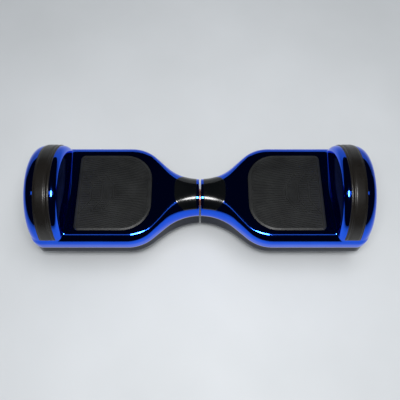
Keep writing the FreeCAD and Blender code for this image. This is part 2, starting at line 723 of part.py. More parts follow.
def make_pivot_tube():
    """Steel tube on which the halves twist."""
    outside = cylinder("TubeOutside", "Dim.tube_radius", "Dim.tube_reach * 2",
                       ("-Dim.tube_reach", "0", PIVOT_Z), X_WAY)
    bore = cylinder("TubeBore", "Dim.tube_bore", "Dim.tube_reach * 2 + 2",
                    ("-Dim.tube_reach - 1", "0", PIVOT_Z), X_WAY)
    groove_rings = []
    for start in ("Dim.sleeve_end + 0.6", "-Dim.sleeve_end - 2.2"):
        ring = ring_piece("Dim.tube_radius + 2", "Dim.tube_radius - 1", start, "1.6", PIVOT_Z)
        groove_rings.append(ring)
    pin_hole = cylinder("PinHole", "2", "Dim.tube_radius + 2",
                        ("Dim.pin_x", "0", PIVOT_Z), Z_WAY)
    tools = fuse([bore, pin_hole] + groove_rings)
    return place(cut(outside, tools), "pivot_tube", "right")


def ring_piece(outer, inner, start, width, height="0"):
    """Plain ring about the axle line, or about a line at another height."""
    solid = cylinder("RingOutside", outer, width, (start, "0", height), X_WAY)
    hole = cylinder("RingBore", inner, f"({width}) + 2", (f"({start}) - 1", "0", height),
                    X_WAY)
    return cut(solid, hole)


def make_pivot_bushes():
    bore = "Dim.tube_radius + Dim.running_gap"
    bushes = [ring_piece("Dim.bush_radius", bore, start, "14", PIVOT_Z)
              for start in ("Dim.half_gap", "Dim.sleeve_end - 14")]
    return place(group(bushes), "pivot_bushes", "right")


def make_thrust_washer():
    """Bronze washer seen in the gap between the halves."""
    ring = ring_piece("Dim.washer_radius", "Dim.tube_radius", "-Dim.half_gap",
                      "Dim.half_gap * 2 - 0.3", PIVOT_Z)
    return place(group([ring]), "thrust_washer", "right")


def make_retaining_rings():
    rings = [ring_piece("Dim.tube_radius + 2.5", "Dim.tube_radius - 1", start, "1.6", PIVOT_Z)
             for start in ("Dim.sleeve_end + 0.6", "-Dim.sleeve_end - 2.2")]
    return place(group(rings), "retaining_rings", "right")


def make_stop_pin():
    pin = cylinder("Pin", "2", "Dim.sleeve_radius - Dim.tube_bore - 1",
                   ("Dim.pin_x", "0", "Dim.tube_bore + 0.5 - Dim.pivot_drop"), Z_WAY)
    return place(group([pin]), "stop_pin", "right")


# ---- axle clamp --------------------------------------------------------------------

CLAMP_SCREWS = [(x, y) for x in ("Dim.saddle_start + 5", "Dim.saddle_end - 5")
                for y in ("-15", "15")]


def make_axle_clamp(half):
    """Cap that holds the axle down in the frame's saddle."""
    body = new_body("Clamp")
    block = new_sketch(body, "XY_Plane")
    draw_box(block, "Dim.saddle_start", "Dim.saddle_end", "-Dim.saddle_half",
             "Dim.saddle_half")
    pad(body, block, "Dim.clamp_top")
    seat = new_sketch(body, "YZ_Plane", "Dim.saddle_start - 1")
    draw_circle(seat, "0", "0", "Dim.axle_radius")
    pocket(body, seat, "Dim.saddle_end - Dim.saddle_start + 2", along_normal=True)
    heads = new_sketch(body, "XY_Plane", "Dim.clamp_top + 1")
    for x, y in CLAMP_SCREWS:
        draw_circle(heads, x, y, "3.6")
    pocket(body, heads, "5.2")
    shanks = new_sketch(body, "XY_Plane", "Dim.clamp_top + 1")
    for x, y in CLAMP_SCREWS:
        draw_circle(shanks, x, y, "2.1")
    pocket(body, shanks, "Dim.clamp_top + 3")
    return place(body, f"axle_clamp_{half}", half)


def cap_screw(x, y, z, upward, shank, head_radius="3.4", head="3.4", radius="2"):
    """Socket head screw with its head's seat at z; upward tells where the head is."""
    way = Z_WAY if upward else V(0, 0, -1)
    back = V(0, 0, -1) if upward else Z_WAY
    top = cylinder("ScrewHead", head_radius, head, (x, y, z), way)
    rod = cylinder("ScrewShank", radius, shank, (x, y, z), back)
    reach = f"({z}) + ({head})" if upward else f"({z}) - ({head})"
    socket = cylinder("ScrewSocket", "1.6", "1.6", (x, y, reach), back)
    return cut(fuse([top, rod]), socket)


def make_clamp_screws(half):
    screws = [cap_screw(x, y, "Dim.clamp_top - 4.2", True, "5.5")
              for x, y in CLAMP_SCREWS]
    return place(group(screws), f"clamp_screws_{half}", half)


def make_shell_screws(half):
    screws = []
    shank = "Dim.screw_tip - Dim.bottom - Dim.screw_seat"
    for x, y in INNER_SCREWS + OUTER_SCREWS:
        for side in ("", "-"):
            screws.append(cap_screw(x, side + y, "Dim.bottom + Dim.screw_seat", False, shank))
    return place(group(screws), f"shell_screws_{half}", half)


# ---- wheel and motor ---------------------------------------------------------------

def make_tyre(half):
    """Solid rubber tyre with three running grooves."""
    body = new_body("Tyre")
    low = "Dim.tyre_inner"
    high = "Dim.tyre_outer"
    top = "Dim.axle_height"
    sketch = new_sketch(body, "XZ_Plane")
    draw(sketch, [(f"{low} + 4", "Dim.rim_radius"), (f"{high} - 4", "Dim.rim_radius"),
                  (high, "Dim.rim_radius + 6"), (high, f"{top} - 9"),
                  (f"{high} - 9", top, "9", 1), (f"{low} + 9", top),
                  (low, f"{top} - 9", "9", 1), (low, "Dim.rim_radius + 6")])
    turned(body, sketch)
    grooves = new_sketch(body, "XZ_Plane")
    for shift in (-9, 0, 9):
        middle = f"(Dim.tyre_inner + Dim.tyre_outer) / 2 + {shift}"
        draw_box(grooves, f"{middle} - 1.2", f"{middle} + 1.2", f"{top} - 2.5", f"{top} + 2")
    turned(body, grooves, "Groove")
    return place(body, f"tyre_{half}", half)


def make_wheel_rim(half):
    """Rotor drum with the tyre seat; its outer face is closed and carries a bearing."""
    outer_face = "(Dim.tyre_outer - 3)"
    body = turned_body("Rim", [
        ("Dim.rim_start", "Dim.drum_radius"), (f"{outer_face} - 5", "Dim.drum_radius"),
        (f"{outer_face} - 5", "Dim.bearing_radius + 4"),
        ("Dim.axle_end - Dim.bearing_width", "Dim.bearing_radius + 4"),
        ("Dim.axle_end - Dim.bearing_width", "Dim.bearing_radius"),
        ("Dim.axle_end + 0.5", "Dim.bearing_radius"), ("Dim.axle_end + 0.5", "0"),
        (outer_face, "0"), (outer_face, "Dim.rim_radius"),
        ("Dim.rim_start", "Dim.rim_radius")])
    # sunk windows leave eight spokes on the outer face
    window = new_sketch(body, "YZ_Plane", f"{outer_face} + 1")
    draw(window, [("-7", "28"), ("7", "28"), ("15", "51"), ("-15", "51", "53", 1)])
    sunk = pocket(body, window, "3.2")
    around_axle(body, [sunk], SPOKES)
    return place(body, f"wheel_rim_{half}", half)


def make_hub_cap(half):
    """Round cap in the middle of the rim."""
    face = "Dim.tyre_outer - 3"
    body = turned_body("Cap", [(face, "0"), (f"{face} + 3.4", "0"), (f"{face} + 3.4", "14"),
                               (f"{face} + 1.6", "20"), (face, "20")])
    return place(body, f"hub_cap_{half}", half)


def make_motor_cover(half):
    """Inner lid of the drum, with the second bearing."""
    start = "Dim.lid_start"
    body = turned_body("Cover", [
        (start, "Dim.bearing_radius"), (f"{start} + Dim.bearing_width", "Dim.bearing_radius"),
        (f"{start} + Dim.bearing_width", "Dim.bearing_radius + 3"),
        (f"{start} + 3.5", "Dim.bearing_radius + 3"), (f"{start} + 3.5", "Dim.drum_radius"),
        (f"{start} + 3.5", "Dim.rim_radius - 1"), (start, "Dim.rim_radius - 1")])
    holes = new_sketch(body, "YZ_Plane", f"{start} - 1")
    draw_circle(holes, "0", "Dim.rim_radius - 3.2", "1.7")
    hole = pocket(body, holes, "8", along_normal=True)
    around_axle(body, [hole], LID_SCREWS)
    return place(body, f"motor_cover_{half}", half)


def make_bearings(half):
    """Two ball bearings, drawn as an inner race, an outer race and a row of balls."""
    pieces = []
    for start in ("Dim.lid_start", "Dim.axle_end - Dim.bearing_width"):
        pieces.append(ring_piece("Dim.bearing_radius", "Dim.bearing_radius - 2.2", start,
                                 "Dim.bearing_width"))
        pieces.append(ring_piece("Dim.axle_radius + 2", "Dim.axle_radius + Dim.running_gap",
                                 start, "Dim.bearing_width"))
        pieces.append(ring_piece("Dim.bearing_radius - 2.2", "Dim.axle_radius + 2",
                                 f"{start} + 2", "Dim.bearing_width - 4"))
    return place(group(pieces), f"wheel_bearings_{half}", half)


def make_magnets(half):
    """Thirty magnets inside the drum."""
    body = new_body("Magnets")
    sketch = new_sketch(body, "XY_Plane", "Dim.magnet_radius")
    draw_box(sketch, "Dim.tyre_inner + 8", "Dim.tyre_inner + 34", "-4.9", "4.9")
    magnet = pad(body, sketch, "3")
    around_axle(body, [magnet], MAGNETS)
    return place(body, f"rotor_magnets_{half}", half)


STATOR_START = "(Dim.tyre_inner + 9.2)"
STATOR_WIDTH = "23.6"


def make_stator(half):
    """Stator: hub on the axle, ring and twenty-seven teeth."""
    hub = "(Dim.tyre_inner + 12.6)"
    body = turned_body("Stator", [
        (hub, "Dim.axle_radius"), (f"{hub} + 18", "Dim.axle_radius"), (f"{hub} + 18", "14"),
        (f"{STATOR_START} + 16", "14"), (f"{STATOR_START} + 16", "24"),
        (f"{STATOR_START} + {STATOR_WIDTH}", "24"),
        (f"{STATOR_START} + {STATOR_WIDTH}", "32"), (STATOR_START, "32"),
        (STATOR_START, "24"), (f"{STATOR_START} + 7", "24"), (f"{STATOR_START} + 7", "14"),
        (hub, "14")])
    tooth = new_sketch(body, "XY_Plane", "31")
    draw_box(tooth, STATOR_START, f"{STATOR_START} + {STATOR_WIDTH}", "-1.7", "1.7")
    tooth_pad = pad(body, tooth, "18")
    shoe = new_sketch(body, "XY_Plane", "48.6")
    draw_box(shoe, STATOR_START, f"{STATOR_START} + {STATOR_WIDTH}", "-4.6", "4.6")
    shoe_pad = pad(body, shoe, "3")
    around_axle(body, [tooth_pad, shoe_pad], TEETH)
    return place(body, f"stator_core_{half}", half)


def make_windings(half):
    """Copper coil round each stator tooth."""
    body = new_body("Windings")
    sketch = new_sketch(body, "XY_Plane", "33.5")
    draw_box(sketch, f"{STATOR_START} - 2.4", f"{STATOR_START} + {STATOR_WIDTH} + 2.4",
             "-3.6", "3.6")
    draw_box(sketch, STATOR_START, f"{STATOR_START} + {STATOR_WIDTH}", "-1.7", "1.7")
    coil = pad(body, sketch, "14")
    around_axle(body, [coil], TEETH)
    return place(body, f"motor_windings_{half}", half)


def make_axle(half):
    """Hollow motor axle; the phase cable leaves through its bore."""
    body = turned_body("Axle", [
        ("Dim.saddle_start", "Dim.cable_bore"), ("Dim.tyre_inner + 26", "Dim.cable_bore"),
        ("Dim.tyre_inner + 26", "0"), ("Dim.axle_end", "0"),
        ("Dim.axle_end", "Dim.axle_radius - 1"), ("Dim.axle_end - 1", "Dim.axle_radius"),
        ("Dim.saddle_start", "Dim.axle_radius")])
    return place(body, f"motor_axle_{half}", half)


# ---- electronics -------------------------------------------------------------------

POST_X = ("Dim.post_inner", "Dim.post_outer")


def make_gyro_board(half):
    """Board with the gyroscope chip and a fork sensor under each post."""
    top = "Dim.board_low + Dim.board_thick"
    body = new_body("GyroBoard")
    # a notch in its outer edge lets the motor cable past
    board = new_sketch(body, "XY_Plane", "Dim.board_low")
    draw(board, [("101", "-48"), ("187", "-48"), ("187", "-9"), ("167", "-9"),
                 ("167", "9"), ("187", "9"), ("187", "48"), ("101", "48")])
    pad(body, board, "Dim.board_thick")
    chips = new_sketch(body, "XY_Plane", f"{top} - 0.2")
    draw_box(chips, "140", "152", "-6", "6")
    draw_box(chips, "128", "133", "12", "22")
    draw_box(chips, "156", "162", "-24", "-16")
    pad(body, chips, "1.6")
    sensors = new_sketch(body, "XY_Plane", f"{top} - 0.2")
    for x in POST_X:
        for y in ("Dim.post_spread", "-Dim.post_spread"):
            draw_box(sensors, f"{x} - 6", f"{x} + 6", f"{y} - 3", f"{y} + 3")
    pad(body, sensors, "3")
    return place(body, f"gyro_board_{half}", half)


def make_battery():
    """Lithium pack under the left half's frame, with its wrap's rounded edges."""
    block = box("PackBlock", ("Dim.battery_start", "-Dim.battery_half", "Dim.battery_low"),
                ("Dim.battery_length", "Dim.battery_half * 2",
                 "Dim.plate_top - Dim.plate_thick - Dim.battery_low - 1.6"))
    doc.recompute()
    rounded = doc.addObject("Part::Fillet", "PackEdges")
    rounded.Base = block
    long_edges = [index for index, edge in enumerate(block.Shape.Edges, start=1)
                  if edge.BoundBox.XLength > 100]
    rounded.Edges = [(index, 6, 6) for index in long_edges]
    return place(rounded, "battery_pack", "left")


def make_battery_straps():
    """Two steel straps that hold the pack up against the frame."""
    straps = []
    for x in ("Dim.battery_start + 20", "Dim.battery_start + Dim.battery_length - 32"):
        outside = box("StrapOutside",
                      (x, "-Dim.battery_half - 1.5", "Dim.bottom + Dim.wall + 0.1"),
                      ("12", "Dim.battery_half * 2 + 3",
                       "Dim.plate_top - Dim.plate_thick - Dim.bottom - Dim.wall - 0.1"))
        inside = box("StrapInside",
                     (f"{x} - 1", "-Dim.battery_half", "Dim.bottom + Dim.wall + 0.5"),
                     ("14", "Dim.battery_half * 2",
                      "Dim.plate_top - Dim.plate_thick - Dim.bottom - Dim.wall + 1"))
        straps.append(cut(outside, inside))
    return place(group(straps), "battery_straps", "left")


def make_main_board():
    """Motor controller board hung under the right half's frame."""
    body = new_body("MainBoard")
    board = new_sketch(body, "XY_Plane", MAIN_LOW)
    draw_box(board, "88", "200", "-42", "42")
    pad(body, board, "Dim.board_thick")
    chips = new_sketch(body, "XY_Plane", f"{MAIN_TOP} - 0.2")
    draw_box(chips, "150", "162", "14", "26")
    draw_box(chips, "122", "128", "20", "34")
    draw_box(chips, "176", "188", "-36", "-28")
    pad(body, chips, "2")
    sockets = new_sketch(body, "XY_Plane", f"{MAIN_TOP} - 0.2")
    draw_box(sockets, "92", "104", "-8", "8")
    draw_box(sockets, "Dim.saddle_start - 24", "Dim.saddle_start - 10", "-8", "8")
    pad(body, sockets, "6")
    return place(body, "main_board", "right")


def make_capacitors():
    """Smoothing capacitors under the controller board."""
    cans = [cylinder("Can", "6.3", "14", (x, y, MAIN_LOW), V(0, 0, -1))
            for x in ("112", "128") for y in ("-24", "-8")]
    return place(group(cans), "board_capacitors", "right")


def make_heat_sink():
    """Finned aluminium bar that cools the controller's transistors."""
    body = new_body("HeatSink")
    base = new_sketch(body, "XY_Plane", MAIN_TOP)
    draw_box(base, "110", "168", "-24", "8")
    pad(body, base, "3")
    fins = new_sketch(body, "XY_Plane", f"{MAIN_TOP} + 2.8")
    for fin in range(FINS):
        low = -24 + fin * 6
        draw_box(fins, "110", "168", str(low), str(low + 2))
    pad(body, fins, "10")
    return place(body, "heat_sink", "right")


# ---- charging socket and power button ----------------------------------------------

OUTSIDE = "(Dim.body_half_width - Dim.bottom_inset)"


def make_charge_socket():
    """Round charging socket in the back wall, with three pins."""
    reach = "10"
    flange = cylinder("Flange", "9.5", "1", ("Dim.socket_x", OUTSIDE, "Dim.socket_z"), Y_WAY)
    barrel = cylinder("Barrel", "7.9", f"{reach} + 3",
                      ("Dim.socket_x", f"{OUTSIDE} - {reach} - 3", "Dim.socket_z"), Y_WAY)
    bore = cylinder("Bore", "6", f"{reach} + 2",
                    ("Dim.socket_x", f"{OUTSIDE} - {reach}", "Dim.socket_z"), Y_WAY)
    return place(cut(fuse([flange, barrel]), bore), "charge_socket", "right")


def make_socket_pins():
    pins = []
    for turn in (90, 210, 330):
        x = f"Dim.socket_x + 3 * cos({turn})"
        z = f"Dim.socket_z + 3 * sin({turn})"
        pins.append(cylinder("Pin", "0.9", "6", (x, f"{OUTSIDE} - 10", z), Y_WAY))
    return place(group(pins), "charge_socket_pins", "right")


def make_button_bezel():
    flange = cylinder("Flange", "8.5", "0.9", ("Dim.button_x", OUTSIDE, "Dim.socket_z"), Y_WAY)
    barrel = cylinder("Barrel", "6.4", "9",
                      ("Dim.button_x", f"{OUTSIDE} - 9", "Dim.socket_z"), Y_WAY)
    bore = cylinder("Bore", "5.3", "9.9",
                    ("Dim.button_x", f"{OUTSIDE} - 7", "Dim.socket_z"), Y_WAY)
    return place(cut(fuse([flange, barrel]), bore), "button_bezel", "right")


def make_power_button():
    cap = cylinder("Button", "5", "6", ("Dim.button_x", f"{OUTSIDE} - 4.6", "Dim.socket_z"),
                   Y_WAY)
    return place(group([cap]), "power_button", "right")


# ---- cables ------------------------------------------------------------------------

def make_cable(label, half, route, radius):
    """Cable along straight runs joined by arcs: the radius of an arc is 0.45 of the
    shorter run beside it, divided by the tangent of half the turn."""
    points = [V(*[number(value) for value in stop]) for stop in route]
    edges = []
    start = points[0]
    for before, corner, after in zip(points, points[1:], points[2:]):
        inward = corner - before
        outward = after - corner
        turn = inward.getAngle(outward)
        trim = 0.45 * min(inward.Length, outward.Length)
        bend = trim / math.tan(turn / 2)
        inward.normalize()
        outward.normalize()
        entry = corner - inward * trim
        leave = corner + outward * trim
        to_centre = outward - inward
        to_centre.normalize()
        centre = corner + to_centre * math.hypot(trim, bend)
        middle = centre + (corner - centre).normalize() * bend
        edges.append(Part.LineSegment(start, entry).toShape())
        edges.append(Part.Arc(entry, middle, leave).toShape())
        start = leave
    edges.append(Part.LineSegment(start, points[-1]).toShape())
    wire = Part.Wire(edges)
    first_way = points[1] - points[0]
    section = Part.Wire(Part.makeCircle(radius, points[0], first_way))
    tube = wire.makePipeShell([section], True, False)
    item = doc.addObject("Part::Feature", "Cable")
    item.Shape = tube
    return place(item, label, half)


def make_harness():
    """Cable through the pivot tube, with a round plug on each end."""
    cable = cylinder("HarnessCable", "4", "Dim.tube_reach * 2 + 4",
                     ("-Dim.tube_reach - 2", "0", PIVOT_Z), X_WAY)
    plugs = [cylinder("Plug", "6.5", "9", (start, "0", PIVOT_Z), X_WAY)
             for start in ("Dim.tube_reach + 2", "-Dim.tube_reach - 11")]
    return place(fuse([cable] + plugs), "centre_harness", "right")


# ---- whole board -------------------------------------------------------------------

for half in ("right", "left"):
    panel = make_panel_solid("Panel")
    make_top_shell(half, panel)
    place(group([panel]), f"waist_panel_{half}", half)
    make_bottom_shell(half)
    make_foot_pad(half)
    make_treadle(half)
    make_fender_strip(half)
    make_indicator_board(half)
    make_frame(half)
    make_axle_clamp(half)
    make_clamp_screws(half)
    make_shell_screws(half)
    make_tyre(half)
    make_wheel_rim(half)
    make_hub_cap(half)
    make_motor_cover(half)
    make_bearings(half)
    make_magnets(half)
    make_stator(half)
    make_windings(half)
    make_axle(half)
    make_gyro_board(half)

for make_single in (make_pivot_tube, make_pivot_bushes, make_thrust_washer,
                    make_retaining_rings, make_stop_pin, make_battery,
                    make_battery_straps, make_main_board, make_capacitors,
                    make_heat_sink, make_charge_socket, make_socket_pins,
                    make_button_bezel, make_power_button, make_harness):
    make_single()

CABLE = number("Dim.cable_bore") - 1
make_cable("motor_cable_right", "right",
           [("Dim.saddle_start", 0, 0), ("Dim.saddle_start - 17", 0, 0),
            ("Dim.saddle_start - 17", 0, f"{MAIN_TOP} + 5.8")], CABLE)
make_cable("motor_cable_left", "left",
           [("Dim.saddle_start", 0, 0), ("Dim.saddle_start - 12", 0, 0),
            ("Dim.saddle_start - 24", 0, PIVOT_Z), ("Dim.tube_reach + 11", 0, PIVOT_Z)],
           CABLE)
make_cable("main_lead", "right",
           [("Dim.tube_reach + 11.4", 0, PIVOT_Z), ("Dim.lead_drop", 0, PIVOT_Z),
            ("Dim.lead_drop", 0, f"{MAIN_TOP} + 5.8")], CABLE)

doc.recompute()
for item in doc.Objects:
    if "Invalid" in item.State or "Error" in item.State:
        raise RuntimeError(f"{item.Name} {item.Label} failed: {item.State}")
for piece in PARTS:
    if piece.Shape.isNull() or not piece.Shape.isValid():
        raise RuntimeError(f"{piece.Label} is not a valid shape")

os.makedirs("parts", exist_ok=True)
for piece in PARTS:
    piece.Shape.exportStep(f"parts/{piece.Label}.step")
print(len(PARTS), "pieces")
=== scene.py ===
import json
import math

import bmesh
import bpy
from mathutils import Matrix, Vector

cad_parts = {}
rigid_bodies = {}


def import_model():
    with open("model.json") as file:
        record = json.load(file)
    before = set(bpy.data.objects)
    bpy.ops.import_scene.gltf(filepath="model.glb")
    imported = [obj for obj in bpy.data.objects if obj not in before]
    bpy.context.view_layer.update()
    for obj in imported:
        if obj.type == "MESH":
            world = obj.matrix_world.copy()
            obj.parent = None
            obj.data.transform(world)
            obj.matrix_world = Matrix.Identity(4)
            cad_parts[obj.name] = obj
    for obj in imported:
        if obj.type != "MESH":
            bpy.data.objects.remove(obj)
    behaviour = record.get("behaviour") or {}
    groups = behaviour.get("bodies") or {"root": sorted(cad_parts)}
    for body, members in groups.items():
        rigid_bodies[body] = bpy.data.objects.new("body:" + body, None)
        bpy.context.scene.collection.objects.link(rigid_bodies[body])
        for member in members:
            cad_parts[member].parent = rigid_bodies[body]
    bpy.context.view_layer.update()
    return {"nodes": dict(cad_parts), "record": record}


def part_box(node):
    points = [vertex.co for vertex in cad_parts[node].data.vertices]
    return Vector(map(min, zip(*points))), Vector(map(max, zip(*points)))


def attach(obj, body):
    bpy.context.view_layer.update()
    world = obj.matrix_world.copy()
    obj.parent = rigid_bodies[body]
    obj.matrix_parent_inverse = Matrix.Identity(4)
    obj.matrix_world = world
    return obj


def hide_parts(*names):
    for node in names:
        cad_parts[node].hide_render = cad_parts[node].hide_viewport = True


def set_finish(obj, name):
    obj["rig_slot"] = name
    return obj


# A hoverboard on a pale floor. Its shells, waist panels, fender strips, foot pads, tyres,
# rims and wheel caps are drawn here, and every other piece keeps its CAD shape.

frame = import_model()

# ---- sizes, in millimetres from the axle line unless they say otherwise -------------

MM = 0.001
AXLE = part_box("tyre_right")[1].z / 2 / MM
shell_low, shell_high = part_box("top_shell_right")
GAP = shell_low.x / MM
END = shell_high.x / MM
SEAM = shell_low.z / MM - AXLE
HALF_WIDTH = round(shell_high.y / MM, 1)
FENDER = shell_high.z / MM - AXLE
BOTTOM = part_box("bottom_shell_right")[0].z / MM - AXLE
BOTTOM_INSET = 1.2
pad_low, pad_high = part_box("foot_pad_right")
PAD_START, PAD_END = pad_low.x / MM, pad_high.x / MM
PAD_HALF = pad_high.y / MM
PAD_TOP = pad_high.z / MM - AXLE
PAD_BASE = pad_low.z / MM - AXLE
strip_low, strip_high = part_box("fender_strip_right")
STRIP_START, STRIP_END = strip_low.x / MM, strip_high.x / MM
TYRE_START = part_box("tyre_right")[0].x / MM
TYRE_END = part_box("tyre_right")[1].x / MM
RIM_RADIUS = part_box("wheel_rim_right")[1].y / MM

WAIST = 34.2
PIVOT_DROP = 7
WAIST_ARC, FLARE_ARC = 90, 65
FLARE = math.radians(42)
PLATFORM = 21.3
EDGE_ROUND = 18
HUMP_START, HUMP_END = 34, 88
BOTTOM_ROUND, WAIST_BOTTOM_ROUND = 25, 11
FACE, LEAN = 229, 4
INNER_SHOULDER, OUTER_SHOULDER = 11, 20
FACE_FILLET = 6
WALL = 3
LIP_BOTTOM = -49
PAD_BIG_ROUND, PAD_SMALL_ROUND = 50, 8

STRAIGHT = ((HALF_WIDTH - WAIST - (WAIST_ARC + FLARE_ARC) * (1 - math.cos(FLARE)))
            / math.sin(FLARE))
FLARE_END = (WAIST_ARC + FLARE_ARC) * math.sin(FLARE) + STRAIGHT * math.cos(FLARE)

HALVES = {"right": 1, "left": -1}


# ---- outline of the body --------------------------------------------------------------

def half_width(x):
    """Half width of the body at a distance from the middle of the board."""
    if x <= WAIST_ARC * math.sin(FLARE):
        return WAIST + WAIST_ARC - math.sqrt(WAIST_ARC ** 2 - x ** 2)
    back = FLARE_END - x
    if back <= 0:
        return HALF_WIDTH
    if back <= FLARE_ARC * math.sin(FLARE):
        return HALF_WIDTH - FLARE_ARC + math.sqrt(FLARE_ARC ** 2 - back ** 2)
    start = WAIST + WAIST_ARC * (1 - math.cos(FLARE))
    return start + (x - WAIST_ARC * math.sin(FLARE)) * math.tan(FLARE)


def hump(x):
    """1 on the round waist, 0 on the flat platform, with a smooth fall between."""
    share = min(1, max(0, (x - HUMP_START) / (HUMP_END - HUMP_START)))
    return 0.5 + 0.5 * math.cos(math.pi * share)


def top_size(x, inset=0):
    """Half width, height and corner radius of the upper cross-section."""
    wide = half_width(x) - inset
    height = PLATFORM + (WAIST - PIVOT_DROP - PLATFORM) * hump(x) - inset
    corner = EDGE_ROUND + (WAIST - 1 - EDGE_ROUND) * hump(x) - inset
    return wide, height, corner


def top_reach(x, angle, inset=0):
    """Distance from the axle line to the upper surface, in a direction."""
    wide, height, corner = top_size(x, inset)
    across, up = abs(math.cos(angle)), math.sin(angle)
    if across > 1e-9 and wide / across * up <= height - corner:
        return wide / across
    if up > 1e-9 and height / up * across <= wide - corner:
        return height / up
    along = across * (wide - corner) + up * (height - corner)
    rest = (wide - corner) ** 2 + (height - corner) ** 2 - corner ** 2
    return along + math.sqrt(max(along ** 2 - rest, 0))


def side_width(x, z):
    """Half width of the upper cross-section at a height near the axle line."""
    wide, height, corner = top_size(x)
    above = max(0, z - (height - corner))
    return wide - corner + math.sqrt(corner ** 2 - above ** 2)


def spaced(low, high, count):
    """Evenly spaced values, both ends included."""
    return [low + (high - low) * i / (count - 1) for i in range(count)]


def around(x, radius, angle):
    """Point at a distance from the axle line: angle 0 is the front, a quarter turn is up."""
    return (x, -radius * math.cos(angle), radius * math.sin(angle))


# ---- mesh helpers -----------------------------------------------------------------------

def new_piece(name, vertices, faces, half):
    """A mesh in millimetres about the axle line, turned into the left or right half."""
    mesh = bpy.data.meshes.new(name)
    side = HALVES[half]
    # the left half is the right one turned half a turn about the vertical
    placed = [(side * x * MM, side * y * MM, (z + AXLE) * MM) for x, y, z in vertices]
    mesh.from_pydata(placed, [], faces)
    mesh.update()
    piece = bpy.data.objects.new(name, mesh)
    bpy.context.scene.collection.objects.link(piece)
    work = bmesh.new()
    work.from_mesh(mesh)
    bmesh.ops.remove_doubles(work, verts=work.verts, dist=1e-6)
    bmesh.ops.recalc_face_normals(work, faces=work.faces)
    work.to_mesh(mesh)
    work.free()
    return piece


def finish_piece(piece, body, slot, replaced):
    """Fix a piece to its body, in place of a CAD node, and leave its material to paint."""
    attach(piece, body)
    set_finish(piece, slot)
    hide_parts(replaced)
    piece.data.materials.clear()


def smooth(piece, degrees=35):
    """Smooth shading with sharp edges kept where faces meet at more than an angle."""
    mesh = piece.data
    mesh.polygons.foreach_set("use_smooth", [True] * len(mesh.polygons))
    work = bmesh.new()
    work.from_mesh(mesh)
    for edge in work.edges:
        edge.smooth = edge.calc_face_angle(0) < math.radians(degrees)
    work.to_mesh(mesh)
    work.free()


def grid_faces(rows, columns, closed_rows=False, closed_columns=False, first=0):
    faces = []
    for j in range(rows if closed_rows else rows - 1):
        for i in range(columns if closed_columns else columns - 1):
            a = first + j * columns + i
            b = first + j * columns + (i + 1) % columns
            c = first + (j + 1) % rows * columns + (i + 1) % columns
            d = first + (j + 1) % rows * columns + i
            faces.append((a, b, c, d))
    return faces


def revolve(profile, count=96, closed=True):
    """Vertices and faces of a section of (x, radius) points turned about the axle line."""
    points = []
    for k in range(count):
        angle = 2 * math.pi * k / count
        for x, radius in profile:
            points.append(around(x, radius, angle))
    return points, grid_faces(count, len(profile), closed_rows=True, closed_columns=closed)


def arc(cx, cy, radius, start, end, count):
    """Points on an arc, angles in degrees."""
    return [(cx + radius * math.cos(math.radians(a)), cy + radius * math.sin(math.radians(a)))
            for a in spaced(start, end, count)]


PAST = 9


def cut_with(piece, tool):
    """Cut a tool piece away and delete the tool."""
    modifier = piece.modifiers.new("Cut", "BOOLEAN")
    modifier.operation = "DIFFERENCE"
    modifier.object = tool
    modifier.solver = "EXACT"
    bpy.context.view_layer.update()
    depsgraph = bpy.context.evaluated_depsgraph_get()
    mesh = bpy.data.meshes.new_from_object(piece.evaluated_get(depsgraph))
    piece.modifiers.clear()
    piece.data = mesh
    bpy.data.objects.remove(tool)


def prism_faces(count):
    """Both ends and the sides of a prism with a number of corners at each end."""
    faces = [tuple(range(count)), tuple(range(count, 2 * count))]
    faces += [(i, (i + 1) % count, count + (i + 1) % count, count + i) for i in range(count)]
    return faces


def prism(outline, low, high, half):
    """Upright prism over a closed outline of (x, y) points."""
    vertices = [(x, y, low) for x, y in outline] + [(x, y, high) for x, y in outline]
    return new_piece("Tool", vertices, prism_faces(len(outline)), half)


def pad_outline(spread, fine=1):
    """D-shaped outline of the foot pad, larger by spread."""
    low, high = PAD_START - spread, PAD_END + spread
    half = PAD_HALF + spread
    big, small = PAD_BIG_ROUND + spread, PAD_SMALL_ROUND + spread
    points = arc(low + big, -half + big, big, 180, 270, 14 * fine)
    points += arc(high - small, -half + small, small, 270, 360, 6 * fine)
    points += arc(high - small, half - small, small, 0, 90, 6 * fine)
    points += arc(low + big, half - big, big, 90, 180, 14 * fine)
    return points


# ---- top shell ----------------------------------------------------------------------------

SLEEVE_HOLE = 20
SEAM_BEVEL = 0.6
FENDER_BLEND = 1.5
RECESS_GAP, RECESS_DEPTH = 0.8, 7.5


def shell_rows():
    """Directions round the body, from the front seam over the top to the back seam:
    ('height', z) below the axle line and ('angle', a) above it."""
    corner_y, corner_z = HALF_WIDTH - EDGE_ROUND, PLATFORM - EDGE_ROUND
    rows = [("height", SEAM), ("height", SEAM + SEAM_BEVEL)]
    rows += [("height", z) for z in spaced(SEAM + 3, -1.5, 4)]
    for turn in spaced(0, 90, 27):
        y = corner_y + EDGE_ROUND * math.cos(math.radians(turn))
        z = corner_z + EDGE_ROUND * math.sin(math.radians(turn))
        rows.append(("angle", math.atan2(z, y)))
    last = rows[-1][1]
    rows += [("angle", a) for a in spaced(last, math.pi / 2, 28)[1:]]
    mirrored = [(kind, value if kind == "height" else math.pi - value)
                for kind, value in rows[-2::-1]]
    return rows, mirrored


def smooth_max(a, b, blend):
    """The larger of two values, with the corner between them rounded off."""
    share = max(blend - abs(a - b), 0) / blend
    return max(a, b) + share * share * blend / 4


